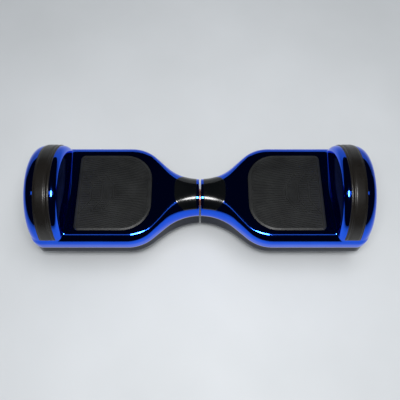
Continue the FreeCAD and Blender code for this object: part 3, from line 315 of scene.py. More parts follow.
def fender_columns(reach):
    """Profile of one direction from the platform out over the fender and back into the
    wheel well, as (x, distance from the axle line)."""
    top = smooth_max(FENDER, reach, FENDER_BLEND)
    shoulder_x = FACE + LEAN + INNER_SHOULDER
    rise = top - reach
    full = INNER_SHOULDER + FACE_FILLET
    lean = math.atan2(LEAN, top - INNER_SHOULDER - PLATFORM)
    steep = math.pi / 2 - lean
    turn = math.acos(max(1 - rise / full, math.cos(steep)))
    columns = []
    arc_x = shoulder_x - INNER_SHOULDER * math.sin(turn)
    arc_r = top - INNER_SHOULDER * (1 - math.cos(turn))
    drop = arc_r - (reach + FACE_FILLET * (1 - math.cos(turn)))
    foot_x = arc_x - max(drop, 0) * math.tan(lean)
    foot_r = reach + FACE_FILLET * (1 - math.cos(turn))
    start_x = foot_x - FACE_FILLET * math.sin(turn)
    for k in range(9):
        a = turn * k / 8
        columns.append((start_x + FACE_FILLET * math.sin(a),
                        reach + FACE_FILLET * (1 - math.cos(a))))
    for k in range(1, 5):
        columns.append((foot_x + (arc_x - foot_x) * k / 4, foot_r + (arc_r - foot_r) * k / 4))
    for k in range(1, 13):
        a = turn * (1 - k / 12)
        columns.append((shoulder_x - INNER_SHOULDER * math.sin(a),
                        top - INNER_SHOULDER * (1 - math.cos(a))))
    band_end = END - OUTER_SHOULDER
    columns += [(x, top) for x in spaced(shoulder_x, band_end, 7)[1:]]
    columns += arc(band_end, top - OUTER_SHOULDER, OUTER_SHOULDER, 90, 2, 20)[1:]
    lip = top - OUTER_SHOULDER
    columns += [(END - 0.6, lip - 0.7), (END - WALL + 0.6, lip - 0.7)]
    roof = FENDER - WALL
    inner = OUTER_SHOULDER - WALL
    columns += arc(band_end, roof - inner, inner, 2, 90, 12)
    columns += [(x, roof) for x in spaced(band_end, shoulder_x, 4)[1:]]
    columns += arc(shoulder_x, roof - INNER_SHOULDER + WALL, INNER_SHOULDER - WALL, 90, 176, 8)[1:]
    columns += [(FACE + WALL, 60), (FACE + WALL, 30)]
    return start_x, columns


PLATFORM_STATIONS = ([GAP, GAP + 0.25, GAP + 0.8] + spaced(3.5, 34, 9) + spaced(34, 90, 22)[1:]
                     + spaced(90, 130, 12)[1:] + spaced(130, 205, 6)[1:])


def row_point(x, kind, value, reach, back):
    """Place in the cross-section plane of a distance from the axle line."""
    if kind == "angle":
        return around(x, reach, value)
    across = math.sqrt(max(reach ** 2 - value ** 2, 0))
    return (x, across if back else -across, value)


def sleeve_hole(kind, value):
    """Distance from the axle line to the edge of the round opening for the pivot sleeve,
    whose middle lies below the axle line."""
    if kind == "height":
        return math.sqrt(SLEEVE_HOLE ** 2 - (value + PIVOT_DROP) ** 2 + value ** 2)
    down = PIVOT_DROP * math.sin(value)
    return -down + math.sqrt(down ** 2 + SLEEVE_HOLE ** 2 - PIVOT_DROP ** 2)


def build_top_shell(half):
    front, back_rows = shell_rows()
    vertices = []
    for is_back, rows in ((False, front), (True, back_rows)):
        for kind, value in rows:
            def reach_at(x, kind=kind, value=value):
                if kind == "angle":
                    return top_reach(x, value)
                side = side_width(x, value)
                if value == SEAM:
                    side -= SEAM_BEVEL
                return math.hypot(side, value)
            flat = reach_at(FLARE_END + 20)
            start_x, fender = fender_columns(flat)
            hole = sleeve_hole(kind, value)
            line = [(GAP + 2.4, hole), (GAP, hole)]
            for x in PLATFORM_STATIONS:
                # the edge beside the gap is rounded over by half a millimetre
                eased = 0.5 * max(0, 1 - (x - GAP) / 0.8) ** 2
                line.append((x, reach_at(x) - eased))
            last = PLATFORM_STATIONS[-1]
            line += [(x, flat) for x in spaced(last, start_x, 5)[1:-1]]
            line += fender
            row = [row_point(x, kind, value, reach, is_back) for x, reach in line]
            # both ends run down to the seam plane, so the underside closes flat
            x, y, z = row[0]
            row.insert(0, (x, y * 0.999, SEAM))
            x, y, z = row[-1]
            row.append((x, y, SEAM))
            vertices += row
    rows_count = len(front) + len(back_rows)
    faces = grid_faces(rows_count, len(vertices) // rows_count)
    piece = new_piece(f"shell_top_{half}", vertices, faces, half)
    work = bmesh.new()
    work.from_mesh(piece.data)
    bmesh.ops.remove_doubles(work, verts=work.verts, dist=1e-5)
    bmesh.ops.dissolve_degenerate(work, dist=1e-6, edges=work.edges)
    edges = [edge for edge in work.edges if edge.is_boundary]
    bmesh.ops.contextual_create(work, geom=edges)
    bmesh.ops.recalc_face_normals(work, faces=work.faces)
    work.to_mesh(piece.data)
    work.free()
    recess = prism(pad_outline(RECESS_GAP), PAD_TOP - RECESS_DEPTH, PAD_TOP + PAST, half)
    cut_with(piece, recess)
    smooth(piece, 32)
    finish_piece(piece, f"{half}_half", "blue_chrome", f"top_shell_{half}")


# ---- bottom shell ------------------------------------------------------------------------

SCREW_PLACES = ((62, 42), (126, 76), (221, 76))
SCREW_WELL_RADIUS, SCREW_WELL_DEPTH = 3.8, 12
HOLE_RADII = {"charge_socket": 8, "button_bezel": 6.5}
HOLE_DEPTH = 16


def bottom_section(x):
    """Lower cross-section from the front seam round the underside to the back seam."""
    wide = half_width(x) - BOTTOM_INSET
    corner = BOTTOM_ROUND + (WAIST_BOTTOM_ROUND - BOTTOM_ROUND) * hump(x)
    low = BOTTOM + corner
    points = [(-wide + 0.5, SEAM), (-wide, SEAM - 0.5)]
    points += [(-wide, z) for z in spaced(SEAM - 2, low + 1, 5)]
    points += arc(-wide + corner, low, corner, 180, 270, 17)
    points += [(y, BOTTOM) for y in spaced(-wide + corner, 0, 7)[1:]]
    return points + [(-y, z) for y, z in points[-2::-1]]


def back_wall_hole(node, radius, half):
    """Round tool through the back wall, in line with a node of the frame."""
    low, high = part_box(node)
    middle_x, middle_z = (low.x + high.x) / 2 / MM, (low.z + high.z) / 2 / MM - AXLE
    ring = arc(middle_x, middle_z, radius, 0, 352.5, 48)
    vertices = [(x, HALF_WIDTH - HOLE_DEPTH, z) for x, z in ring]
    vertices += [(x, HALF_WIDTH + 5, z) for x, z in ring]
    return new_piece("Tool", vertices, prism_faces(len(ring)), half)


def build_bottom_shell(half):
    stations = [GAP, GAP + 0.6] + spaced(3.5, 90, 30) + spaced(90, 130, 14)[1:]
    stations += spaced(130, END - OUTER_SHOULDER, 5)[1:]
    vertices = []
    for x in stations:
        eased = 0.5 if x == GAP else 0
        vertices += [(x, y * (1 - eased / WAIST), z) for y, z in bottom_section(x)]
    # the outer corners are rounded seen from above, like the fender's edge
    for turn in spaced(0, 88, 16)[1:]:
        x = END - OUTER_SHOULDER + OUTER_SHOULDER * math.sin(math.radians(turn))
        drop = OUTER_SHOULDER * (1 - math.cos(math.radians(turn)))
        for y, z in bottom_section(FLARE_END + 20):
            limit = HALF_WIDTH - BOTTOM_INSET - drop
            vertices.append((x, max(-limit, min(limit, y)), z))
    columns = len(bottom_section(GAP))
    rows = len(vertices) // columns
    faces = grid_faces(rows, columns)
    faces += [tuple(range(columns)), tuple(range((rows - 1) * columns, rows * columns)),
              tuple(j * columns for j in range(rows))
              + tuple(j * columns + columns - 1 for j in reversed(range(rows)))]
    piece = new_piece(f"shell_bottom_{half}", vertices, faces, half)
    roof = FENDER - WALL
    inner, outer = FACE + WALL, END + PAST
    well, well_faces = revolve([(inner, 0.01), (inner, roof), (outer, roof), (outer, 0.01)], 128)
    cut_with(piece, new_piece("Well", well, well_faces, half))
    reach = HALF_WIDTH + PAST
    below = [(inner, -reach), (outer, -reach), (outer, reach), (inner, reach)]
    cut_with(piece, prism(below, BOTTOM - PAST, LIP_BOTTOM, half))
    for screw_x, screw_y in SCREW_PLACES:
        for side in (1, -1):
            ring = arc(screw_x, side * screw_y, SCREW_WELL_RADIUS, 0, 348, 30)
            cut_with(piece, prism(ring, BOTTOM - 5, BOTTOM + SCREW_WELL_DEPTH, half))
    if half == "right":
        for node, radius in HOLE_RADII.items():
            cut_with(piece, back_wall_hole(node, radius, half))
    smooth(piece, 35)
    finish_piece(piece, f"{half}_half", "black_gloss", f"bottom_shell_{half}")


# ---- waist panel ---------------------------------------------------------------------------

PANEL_START, PANEL_END = 6.2, 45
PANEL_ROUND = 26
PANEL_LOW = 9.5
PANEL_PROUD = 0.3
PANEL_SUNK, PANEL_EDGE = -1.2, -1.185


def panel_reach(angle):
    """Where the panel ends in a direction. Its outer end is a straight edge with large
    rounded corners, seen from above."""
    low, high = PANEL_END - PANEL_ROUND, PANEL_END
    for _ in range(16):
        middle = (low + high) / 2
        across = max(0, top_reach(middle, angle) * math.cos(angle) - (WAIST - PANEL_ROUND))
        if math.hypot(middle - (PANEL_END - PANEL_ROUND), across) < PANEL_ROUND:
            low = middle
        else:
            high = middle
    return low


def build_waist_panel(half):
    """Curved gloss panel that follows the shell, with a rounded rim."""
    lowest = math.atan2(PANEL_LOW, side_width(GAP, PANEL_LOW))
    rows = spaced(lowest, math.pi - lowest, 49)
    rim = [(0, PANEL_SUNK), (0, 0), (0.15, 0.2), (0.5, PANEL_PROUD)]
    vertices = []
    for angle in rows:
        folded = min(angle, math.pi - angle)
        end = panel_reach(folded)
        line = [(PANEL_START + inset, lift) for inset, lift in rim]
        line += [(x, PANEL_PROUD) for x in spaced(PANEL_START + 0.5, end - 0.5, 22)[1:-1]]
        line += [(end - inset, lift) for inset, lift in rim[::-1]]
        is_edge = folded - lowest < 1e-6
        for x, lift in line:
            # the two lower edges of the panel lie just under the shell
            height = min(lift, PANEL_EDGE) if is_edge else lift
            vertices.append(around(x, top_reach(x, angle) + height, angle))
    faces = grid_faces(len(rows), len(vertices) // len(rows))
    piece = new_piece(f"panel_waist_{half}", vertices, faces, half)
    smooth(piece, 50)
    finish_piece(piece, f"{half}_half", "panel_gloss", f"waist_panel_{half}")


# ---- fender strip ------------------------------------------------------------------------

STRIP_SWEEP = 160


def build_fender_strip(half):
    """Rubber strip: a rounded bead, a groove, the raised band and a thin outer lip. The
    inner bead dies away before the ends."""
    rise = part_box("fender_strip_right")[1].z / MM - AXLE - FENDER
    angles = spaced(math.radians(90 - STRIP_SWEEP / 2), math.radians(90 + STRIP_SWEEP / 2), 97)
    vertices = []
    columns = 0
    start, end = STRIP_START, STRIP_END
    for angle in angles:
        from_end = min(angle - angles[0], angles[-1] - angle)
        bead = min(1, from_end / 0.25) ** 0.5
        close = min(1, from_end / 0.03)
        tip = 1 - (1 - close) ** 2
        line = [(start, -0.6), (start + 0.1, 0.35), (start + 0.8, 0.35 + 0.65 * bead),
                (start + 1.8, 0.5 + 0.95 * bead), (start + 3.0, 0.5 + 1.1 * bead),
                (start + 4.2, 0.45 + 0.75 * bead), (start + 5.2, 0.25), (start + 6.6, 0.2),
                (start + 7.2, 0.7), (start + 8.0, rise - 0.3), (start + 9.4, rise - 0.02),
                (start + 12, rise), (end - 7, rise), (end - 4.4, rise - 0.03),
                (end - 3.2, rise - 0.25), (end - 2.6, rise - 0.8), (end - 2.0, 0.75),
                (end - 0.9, 0.72), (end - 0.2, 0.55), (end, 0.2), (end, -0.6)]
        columns = len(line)
        for x, lift in line:
            reach = FENDER + (lift * tip if lift > 0 else lift)
            vertices.append(around(x, reach, angle))
    faces = grid_faces(len(angles), columns)
    faces += [tuple(range(columns)),
              tuple(range((len(angles) - 1) * columns, len(angles) * columns))[::-1]]
    piece = new_piece(f"strip_fender_{half}", vertices, faces, half)
    smooth(piece, 60)
    finish_piece(piece, f"{half}_half", "strip_rubber", f"fender_strip_{half}")


# ---- foot pad -----------------------------------------------------------------------------

RIM_WIDTH, FIELD_DEPTH = 5.2, 1.6
RIB_PITCH, RIB_WIDTH, BRACKET_WIDTH = 3.7, 2.3, 2.2
FAN = 0.0042
BRACKETS = ((152, 24), (172, 27), (192, 30))


def inside_pad(x, y, inset):
    """True inside the pad's outline, smaller by inset."""
    low, high = PAD_START + inset, PAD_END - inset
    half = PAD_HALF - inset
    if not (low < x < high and abs(y) < half):
        return False
    for corner_x, radius, before in ((low + PAD_BIG_ROUND - inset, PAD_BIG_ROUND - inset, True),
                                     (high - PAD_SMALL_ROUND + inset,
                                      PAD_SMALL_ROUND - inset, False)):
        corner_y = half - radius
        beyond = x < corner_x if before else x > corner_x
        if beyond and abs(y) > corner_y:
            return math.hypot(x - corner_x, abs(y) - corner_y) < radius
    return True


def rib_bar(vertices, faces, path, width, base, top):
    """Low bar with sloping sides along a path of (x, y) points."""
    first = len(vertices)
    count = len(path)
    for k, (x, y) in enumerate(path):
        ahead = path[min(k + 1, count - 1)]
        behind = path[max(k - 1, 0)]
        way = Vector((ahead[0] - behind[0], ahead[1] - behind[1])).normalized()
        side = Vector((-way.y, way.x))
        pull = 0.35 if k == 0 else -0.35 if k == count - 1 else 0
        for offset, z, share in ((-width / 2, base, 0), (-width / 2 + 0.3, top, 1),
                                 (width / 2 - 0.3, top, 1), (width / 2, base, 0)):
            vertices.append((x + side.x * offset + way.x * pull * share,
                             y + side.y * offset + way.y * pull * share, z))
    faces += [(first + k * 4 + i, first + k * 4 + i + 1, first + k * 4 + i + 5,
               first + k * 4 + i + 4) for k in range(count - 1) for i in range(3)]
    faces += [(first, first + 1, first + 2, first + 3),
              tuple(first + (count - 1) * 4 + i for i in (3, 2, 1, 0))]


def bracket_reach(y, bracket):
    """Where a bracket's raised line crosses a line across the pad."""
    middle, arm = bracket
    over = max(0, abs(y) - arm * 0.55)
    return middle + over * 0.75


def build_foot_pad(half):
    """Rubber mat: bevelled rim, sunk field and raised tread lines that fan outwards."""
    field = PAD_TOP - FIELD_DEPTH
    loops = [(0, PAD_BASE), (0, PAD_BASE + 1.7), (-0.15, PAD_BASE + 2.2), (-2.8, PAD_TOP - 0.12),
             (-3.3, PAD_TOP), (-4.4, PAD_TOP), (-4.8, PAD_TOP - 0.12), (-RIM_WIDTH, field)]
    vertices = []
    count = 0
    for spread, z in loops:
        outline = pad_outline(spread, 2)
        count = len(outline)
        vertices += [(x, y, z) for x, y in outline]
    faces = grid_faces(len(loops), count, closed_columns=True)
    faces += [tuple(range(count))[::-1],
              tuple(range((len(loops) - 1) * count, len(loops) * count))]
    rows = int((PAD_HALF + 14) / RIB_PITCH)
    for index in range(-rows, rows + 1):
        line_y = index * RIB_PITCH
        run = []
        runs = []
        for x in spaced(PAD_START, PAD_END, 132):
            y = line_y * (1 + FAN * (x - PAD_START - 65))
            blocked = not inside_pad(x, y, RIM_WIDTH + 1.3)
            for bracket in BRACKETS:
                beside = abs(y) < bracket[1] + 14
                if beside and abs(x - bracket_reach(y, bracket)) < RIB_WIDTH:
                    blocked = True
            if blocked:
                if len(run) > 3:
                    runs.append(run)
                run = []
            else:
                run.append((x, y))
        if len(run) > 3:
            runs.append(run)
        for run in runs:
            steps = max(2, len(run) // 12)
            path = [run[round(k * (len(run) - 1) / steps)] for k in range(steps + 1)]
            rib_bar(vertices, faces, path, RIB_WIDTH, field - 0.05, PAD_TOP - 0.25)
    for bracket in BRACKETS:
        reach = bracket[1] + 12
        path = [(bracket_reach(y, bracket), y) for y in spaced(-reach, reach, 17)]
        rib_bar(vertices, faces, path, BRACKET_WIDTH, field - 0.05, PAD_TOP - 0.1)
    piece = new_piece(f"mat_{half}", vertices, faces, half)
    smooth(piece, 30)
    finish_piece(piece, f"{half}_foot_pad", "pad_rubber", f"foot_pad_{half}")


# ---- wheel ------------------------------------------------------------------------------

TREADS = 44
TYRE_SHOULDER = 9
GROOVE_DEPTH, SIPE_DEPTH = 2.4, 1.7


def build_tyre(half):
    """Solid tyre: rounded tread with running grooves and sipes cut across its shoulders."""
    top = AXLE
    middle = (TYRE_START + TYRE_END) / 2
    width = TYRE_END - TYRE_START
    shoulder = top - TYRE_SHOULDER
    side = [(TYRE_END - 4, RIM_RADIUS), (TYRE_END - 1, RIM_RADIUS + 2.5),
            (TYRE_END, RIM_RADIUS + 6), (TYRE_END, shoulder)]
    side += arc(TYRE_END - TYRE_SHOULDER, shoulder, TYRE_SHOULDER, 8, 90, 9)
    grooves = []
    for shift in (9, 0, -9):
        x = middle + shift
        floor = top - GROOVE_DEPTH
        grooves += [(x + 1.6, top), (x + 1.1, floor), (x - 1.1, floor), (x - 1.6, top)]
    outline = side + grooves + [(2 * middle - x, radius) for x, radius in side[::-1]]
    per_tread = 8
    count = TREADS * per_tread
    vertices = []
    for k in range(count):
        angle = 2 * math.pi * k / count
        phase = (k % per_tread) / per_tread
        for x, radius in outline:
            across = abs(x - middle) / (width / 2)
            on_tread = radius > top - 7
            in_sipe = on_tread and 0.2 <= phase < 0.45 and 0.42 < across < 0.98
            swept = angle + (0.05 * across if on_tread else 0)
            reach = radius - (SIPE_DEPTH if in_sipe else 0)
            vertices.append(around(x, reach, swept))
    faces = grid_faces(count, len(outline), closed_rows=True, closed_columns=True)
    piece = new_piece(f"wheel_tyre_{half}", vertices, faces, half)
    smooth(piece, 32)
    finish_piece(piece, f"{half}_wheel", "tyre_rubber", f"tyre_{half}")


SPOKES = 8
SPOKE_STEPS = 24
WINDOW_DEPTH = 3.2


def build_rim(half):
    """Wheel face: rolled edge, dished spokes with sunk windows, and a raised hub ring."""
    face = TYRE_END - 3
    rings = [(20, 0.9), (21.5, 1.3), (24, 1.3), (25.4, 0.4), (27, 0), (28.5, 0), (29.2, 0),
             (30, 0), (32, 0), (38, -0.3), (44, -0.5), (50, -0.4), (51.2, -0.2), (52, 0),
             (53.5, 0.3), (55, 1.4), (57, 2.0), (59, 2.2), (60.6, 1.6), (61.6, 0.4),
             (RIM_RADIUS, -1.2)]
    count = SPOKES * SPOKE_STEPS
    vertices = []
    for k in range(count):
        angle = 2 * math.pi * k / count
        phase = (k % SPOKE_STEPS + 0.5) / SPOKE_STEPS - 0.5
        for radius, lift in rings:
            # spokes are a fixed width, so the windows widen outwards
            across = abs(phase) * 2 * math.pi / SPOKES * radius
            room = math.pi / SPOKES * radius - 4.2
            in_window = 29 < radius < 51.5 and across < room - 1
            x = face - 2.4 + lift - (WINDOW_DEPTH if in_window else 0)
            vertices.append(around(x, radius, angle))
    faces = grid_faces(count, len(rings), closed_rows=True)
    first = len(vertices)
    back = [(20, face - 6), (RIM_RADIUS - 1, face - 6), (RIM_RADIUS, face - 5),
            (RIM_RADIUS, TYRE_START + 6.2), (RIM_RADIUS - 3, TYRE_START + 6.2),
            (RIM_RADIUS - 4, face - 8), (20, face - 8)]
    for k in range(count):
        angle = 2 * math.pi * k / count
        for radius, x in back:
            vertices.append(around(x, radius, angle))
    faces += grid_faces(count, len(back), closed_rows=True, first=first)
    width = len(rings)
    back_width = len(back)
    for k in range(count):
        after = (k + 1) % count
        faces.append((k * width + width - 1, after * width + width - 1,
                      first + after * back_width + 2, first + k * back_width + 2))
    piece = new_piece(f"wheel_face_{half}", vertices, faces, half)
    smooth(piece, 30)
    finish_piece(piece, f"{half}_wheel", "rim_silver", f"wheel_rim_{half}")


def build_cap(half):
    """Domed centre cap with a stepped edge."""
    face = TYRE_END - 3
    profile = [(face - 3, 20.4), (face + 0.2, 20.4), (face + 0.7, 19.8), (face + 0.8, 17.6),
               (face + 1.3, 17.0), (face + 2.4, 15.6)]
    profile += [(face + 2.4 + 1.0 * math.sqrt(max(1 - (r / 15.6) ** 2, 0)), r)
                for r in spaced(15.0, 0.02, 12)]
    vertices, faces = revolve(profile, 72, closed=False)
    piece = new_piece(f"wheel_cap_{half}", vertices, faces, half)
    smooth(piece, 40)
    finish_piece(piece, f"{half}_wheel", "black_plastic", f"hub_cap_{half}")


# ---- materials ----------------------------------------------------------------------------

def node_material(name, dark, light, rough, metallic=0.0, mottle=6.0, bump=0.1, grain=900.0,
                  pattern="noise", pattern_scale=300.0, **sockets):
    """Material with mottled colour and roughness and a fine surface relief. dark and light
    are linear colours and rough is a pair of roughness values; the mottle and grain are
    per metre. sockets are set on the shader itself."""
    material = bpy.data.materials.new(name)
    material.use_nodes = True
    nodes, links = material.node_tree.nodes, material.node_tree.links
    shader = nodes["Principled BSDF"]
    place = nodes.new("ShaderNodeTexCoord")
    broad = nodes.new("ShaderNodeTexNoise")
    broad.inputs["Scale"].default_value = mottle
    broad.inputs["Detail"].default_value = 4
    links.new(place.outputs["Object"], broad.inputs["Vector"])
    colour = nodes.new("ShaderNodeValToRGB")
    colour.color_ramp.elements[0].position = 0.3
    colour.color_ramp.elements[1].position = 0.7
    colour.color_ramp.elements[0].color = (*dark, 1)
    colour.color_ramp.elements[1].color = (*light, 1)
    links.new(broad.outputs["Fac"], colour.inputs["Fac"])
    links.new(colour.outputs["Color"], shader.inputs["Base Color"])
    colour.name = "Tone"
    wear = nodes.new("ShaderNodeTexNoise")
    wear.inputs["Scale"].default_value = mottle * 3
    wear.inputs["Detail"].default_value = 6
    links.new(place.outputs["Object"], wear.inputs["Vector"])
    gloss = nodes.new("ShaderNodeMapRange")
    gloss.inputs["From Min"].default_value = 0.3
    gloss.inputs["From Max"].default_value = 0.7
    gloss.inputs["To Min"].default_value = rough[0]
    gloss.inputs["To Max"].default_value = rough[1]
    links.new(wear.outputs["Fac"], gloss.inputs["Value"])
    links.new(gloss.outputs["Result"], shader.inputs["Roughness"])
    shader.inputs["Metallic"].default_value = metallic
    for socket, value in sockets.items():
        shader.inputs[socket.replace("_", " ")].default_value = value
    if pattern == "noise":
        relief = nodes.new("ShaderNodeTexNoise")
        relief.inputs["Detail"].default_value = 3
        height = relief.outputs["Fac"]
        relief.inputs["Scale"].default_value = grain
    elif pattern == "voronoi":
        relief = nodes.new("ShaderNodeTexVoronoi")
        height = relief.outputs["Distance"]
        relief.inputs["Scale"].default_value = pattern_scale
    else:
        relief = nodes.new("ShaderNodeTexWave")
        relief.wave_type = "RINGS" if pattern == "rings" else "BANDS"
        if pattern == "rings":
            relief.rings_direction = "X"
        relief.inputs["Distortion"].default_value = 0.6
        height = relief.outputs["Fac"]
        relief.inputs["Scale"].default_value = pattern_scale
    links.new(place.outputs["Object"], relief.inputs["Vector"])
    raised = nodes.new("ShaderNodeBump")
    raised.inputs["Strength"].default_value = bump
    raised.inputs["Distance"].default_value = 0.0004
    links.new(height, raised.inputs["Height"])
    links.new(raised.outputs["Normal"], shader.inputs["Normal"])
    return material


def painted_seam_highlight(material, height):
    """Painted highlight: a pale band on the lowest part of a moulding, below a height in metres,
    which stands in for the bright reflection along the seam.
    """
    nodes, links = material.node_tree.nodes, material.node_tree.links
    place = nodes.new("ShaderNodeTexCoord")
    split = nodes.new("ShaderNodeSeparateXYZ")
    links.new(place.outputs["Object"], split.inputs["Vector"])
    fade = nodes.new("ShaderNodeMapRange")
    fade.inputs["From Min"].default_value = height
    fade.inputs["From Max"].default_value = height + 0.0006
    fade.inputs["To Min"].default_value = 0.85
    fade.inputs["To Max"].default_value = 0
    links.new(split.outputs["Z"], fade.inputs["Value"])
    mix = nodes.new("ShaderNodeMix")
    mix.data_type = "RGBA"
    links.new(fade.outputs["Result"], mix.inputs["Factor"])
    links.new(nodes["Tone"].outputs["Color"], mix.inputs["A"])
    # this pale colour is a painted highlight, the seam's bright edge reflection
    mix.inputs["B"].default_value = (0.50, 0.44, 0.40, 1)
    links.new(mix.outputs["Result"], nodes["Principled BSDF"].inputs["Base Color"])


def make_materials():
    """One material for each of the record's slots."""
    made = {}

    def add(slot, *values, **options):
        made[slot] = node_material(slot, *values, **options)

    add("blue_chrome", (0.016, 0.095, 0.80), (0.024, 0.135, 0.95), (0.045, 0.085), metallic=1.0,
        mottle=9, bump=0.012, grain=160)
    add("black_gloss", (0.004, 0.007, 0.018), (0.006, 0.010, 0.024), (0.10, 0.17),
        mottle=8, bump=0.015, grain=200, Specular_IOR_Level=0.05)
    add("pad_rubber", (0.010, 0.0105, 0.0108), (0.017, 0.018, 0.018), (0.38, 0.52),
        mottle=30, bump=0.5, grain=1600)
    add("strip_rubber", (0.008, 0.007, 0.006), (0.012, 0.0105, 0.009), (0.26, 0.34),
        mottle=20, bump=0.25, grain=1400)
    add("panel_gloss", (0.002, 0.0025, 0.003), (0.004, 0.0045, 0.005), (0.13, 0.19),
        mottle=14, bump=0.01, grain=240, IOR=1.55)
    add("tyre_rubber", (0.012, 0.012, 0.012), (0.022, 0.021, 0.02), (0.6, 0.8),
        mottle=25, bump=0.6, grain=1300)
    add("rim_silver", (0.42, 0.43, 0.45), (0.52, 0.53, 0.55), (0.28, 0.38), metallic=0.85,
        mottle=20, bump=0.15, grain=1500)
    add("black_plastic", (0.012, 0.012, 0.013), (0.02, 0.02, 0.021), (0.4, 0.55),
        mottle=25, bump=0.4, pattern="voronoi", pattern_scale=1800)
    add("button_plastic", (0.40, 0.012, 0.010), (0.52, 0.02, 0.015), (0.25, 0.35),
        mottle=60, bump=0.15, grain=1500)
    add("circuit_board", (0.008, 0.09, 0.03), (0.015, 0.16, 0.06), (0.3, 0.45),
        mottle=120, bump=0.4, pattern="voronoi", pattern_scale=420, Coat_Weight=0.3)
    add("cast_aluminium", (0.42, 0.43, 0.44), (0.55, 0.56, 0.57), (0.4, 0.6), metallic=0.9,
        mottle=30, bump=0.6, grain=900)
    add("steel", (0.42, 0.42, 0.43), (0.56, 0.56, 0.57), (0.2, 0.34), metallic=1.0,
        mottle=40, bump=0.1, pattern="rings", pattern_scale=900)
    add("black_steel", (0.018, 0.018, 0.019), (0.035, 0.035, 0.036), (0.35, 0.5),
        metallic=0.5, mottle=60, bump=0.3, grain=1500)
    add("magnet", (0.42, 0.42, 0.43), (0.5, 0.5, 0.51), (0.2, 0.3), metallic=1.0,
        mottle=50, bump=0.1, grain=1200)
    add("stator_steel", (0.16, 0.17, 0.18), (0.24, 0.25, 0.26), (0.35, 0.5), metallic=0.9,
        mottle=50, bump=0.6, pattern="bands", pattern_scale=500)
    add("copper", (0.45, 0.14, 0.055), (0.62, 0.22, 0.09), (0.25, 0.4), metallic=1.0,
        mottle=80, bump=0.8, pattern="bands", pattern_scale=450)
    add("bronze", (0.42, 0.15, 0.09), (0.60, 0.24, 0.15), (0.3, 0.42), metallic=0.85,
        mottle=60, bump=0.2, pattern="rings", pattern_scale=700)
    add("battery_wrap", (0.015, 0.05, 0.26), (0.025, 0.08, 0.36), (0.25, 0.4),
        mottle=40, bump=0.3, grain=300)
    add("capacitor_can", (0.02, 0.02, 0.024), (0.035, 0.035, 0.04), (0.25, 0.4),
        mottle=60, bump=0.2, grain=800)
    add("brass_pins", (0.55, 0.38, 0.12), (0.7, 0.5, 0.18), (0.2, 0.3), metallic=1.0,
        mottle=90, bump=0.1, grain=1500)
    add("socket_metal", (0.5, 0.5, 0.51), (0.62, 0.62, 0.63), (0.12, 0.2), metallic=1.0,
        mottle=60, bump=0.08, pattern="rings", pattern_scale=800)
    add("cable_sheath", (0.012, 0.012, 0.012), (0.02, 0.02, 0.02), (0.4, 0.55),
        mottle=60, bump=0.3, grain=1500)
    # painted highlight: a pale band along the lower seam of the blue plating
    painted_seam_highlight(made["blue_chrome"], (AXLE + SEAM + 2.2) * MM)
    return made


def paint(thing, material):
    """Give every material slot of a piece or CAD node the same material."""
    if not thing.material_slots:
        thing.data.materials.append(material)
    for material_slot in thing.material_slots:
        material_slot.material = material


# ---- the pieces, on both halves ------------------------------------------------------------

BUILDERS = (build_top_shell, build_bottom_shell, build_waist_panel, build_fender_strip,
            build_foot_pad, build_tyre, build_rim, build_cap)

for half in HALVES:
    for build in BUILDERS:
        build(half)

finishes = make_materials()
for row in frame["record"]["subparts"]:
    paint(frame["nodes"][row["node"]], finishes[row["material_slot"]])
for piece in list(bpy.data.objects):
    if "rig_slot" in piece:
        paint(piece, finishes[piece["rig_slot"]])


# ---- floor, surroundings, lights and camera ------------------------------------------------

def look_at(thing, target):
    thing.rotation_euler = (Vector(target) - thing.location).to_track_quat("-Z", "Y").to_euler()


def add_sheet(name, corners, dark, light):
    """A matt pale sheet round the board, which is scenery and not part of it."""
    mesh = bpy.data.meshes.new(name)
    mesh.from_pydata(corners, [], [(0, 1, 2, 3)])
    sheet = bpy.data.objects.new(name, mesh)
    bpy.context.scene.collection.objects.link(sheet)
    paint(sheet, node_material(name, dark, light, (0.6, 0.8), mottle=3, bump=0.05, grain=60))


def add_surroundings():
    """The floor, and a pale card behind the board that its back edges mirror."""
    reach = 5
    add_sheet("Floor", [(-reach, -reach, 0), (reach, -reach, 0), (reach, reach, 0),
                        (-reach, reach, 0)], (0.60, 0.62, 0.635), (0.66, 0.68, 0.70))
    half, near, far, top = 3, 1.0, 1.25, 0.62
    add_sheet("Backdrop", [(-half, near, 0), (half, near, 0), (half, far, top),
                           (-half, far, top)], (0.62, 0.64, 0.655), (0.68, 0.70, 0.72))


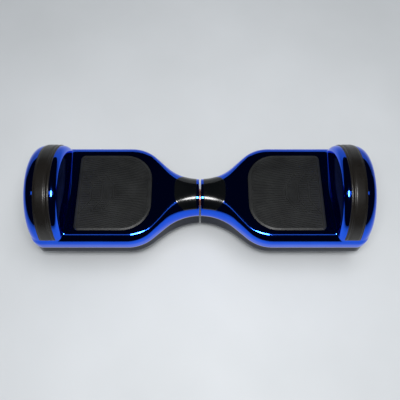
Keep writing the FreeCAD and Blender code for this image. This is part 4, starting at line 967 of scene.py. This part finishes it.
def add_light(name, place, target, energy, size, size_y=None, glossy=True):
    """Area light, square unless size_y is given; glossy says if the plating mirrors it."""
    data = bpy.data.lights.new(name, "AREA")
    data.energy = energy
    data.size = size
    if size_y:
        data.shape = "RECTANGLE"
        data.size_y = size_y
    light = bpy.data.objects.new(name, data)
    light.location = place
    look_at(light, target)
    light.visible_glossy = glossy
    bpy.context.scene.collection.objects.link(light)


def set_world():
    """Grey light from all round, but a dark room in reflections, so that the plating
    mirrors a dark ceiling above and the pale floor below."""
    world = bpy.data.worlds.new("Room")
    bpy.context.scene.world = world
    world.use_nodes = True
    nodes, links = world.node_tree.nodes, world.node_tree.links
    output = nodes["World Output"]
    ambient = nodes["Background"]
    ambient.inputs["Color"].default_value = (0.9, 0.95, 1.0, 1)
    ambient.inputs["Strength"].default_value = 0.30
    mirrored = nodes.new("ShaderNodeBackground")
    mirrored.inputs["Color"].default_value = (0.005, 0.0055, 0.007, 1)
    mirrored.inputs["Strength"].default_value = 1.0
    ray = nodes.new("ShaderNodeLightPath")
    mix = nodes.new("ShaderNodeMixShader")
    links.new(ray.outputs["Is Glossy Ray"], mix.inputs["Fac"])
    links.new(ambient.outputs["Background"], mix.inputs[1])
    links.new(mirrored.outputs["Background"], mix.inputs[2])
    links.new(mix.outputs["Shader"], output.inputs["Surface"])


AIM = (0, 0, AXLE * MM)
CAMERA_PLACE = (0, -0.3714, 0.8804)


def add_camera():
    data = bpy.data.cameras.new("Camera")
    data.lens = 43.785
    data.sensor_width = 36
    data.shift_y = -0.0088
    camera = bpy.data.objects.new("Camera", data)
    camera.location = CAMERA_PLACE
    look_at(camera, AIM)
    bpy.context.scene.collection.objects.link(camera)
    bpy.context.scene.camera = camera


add_surroundings()
set_world()
add_light("Ceiling", (0.3, 0.1, 2.0), (0, 0, 0), 15, 1.1, glossy=False)
add_light("Lamp", (0, -0.36, 1.05), AIM, 1.0, 0.05)
add_light("Softbox", (0, -0.34, 1.06), AIM, 6.0, 0.36, size_y=0.20)
add_light("Wide softbox", (0, -0.32, 1.08), AIM, 0.4, 1.7, size_y=0.12)
add_camera()
bpy.context.scene.view_settings.view_transform = "Standard"
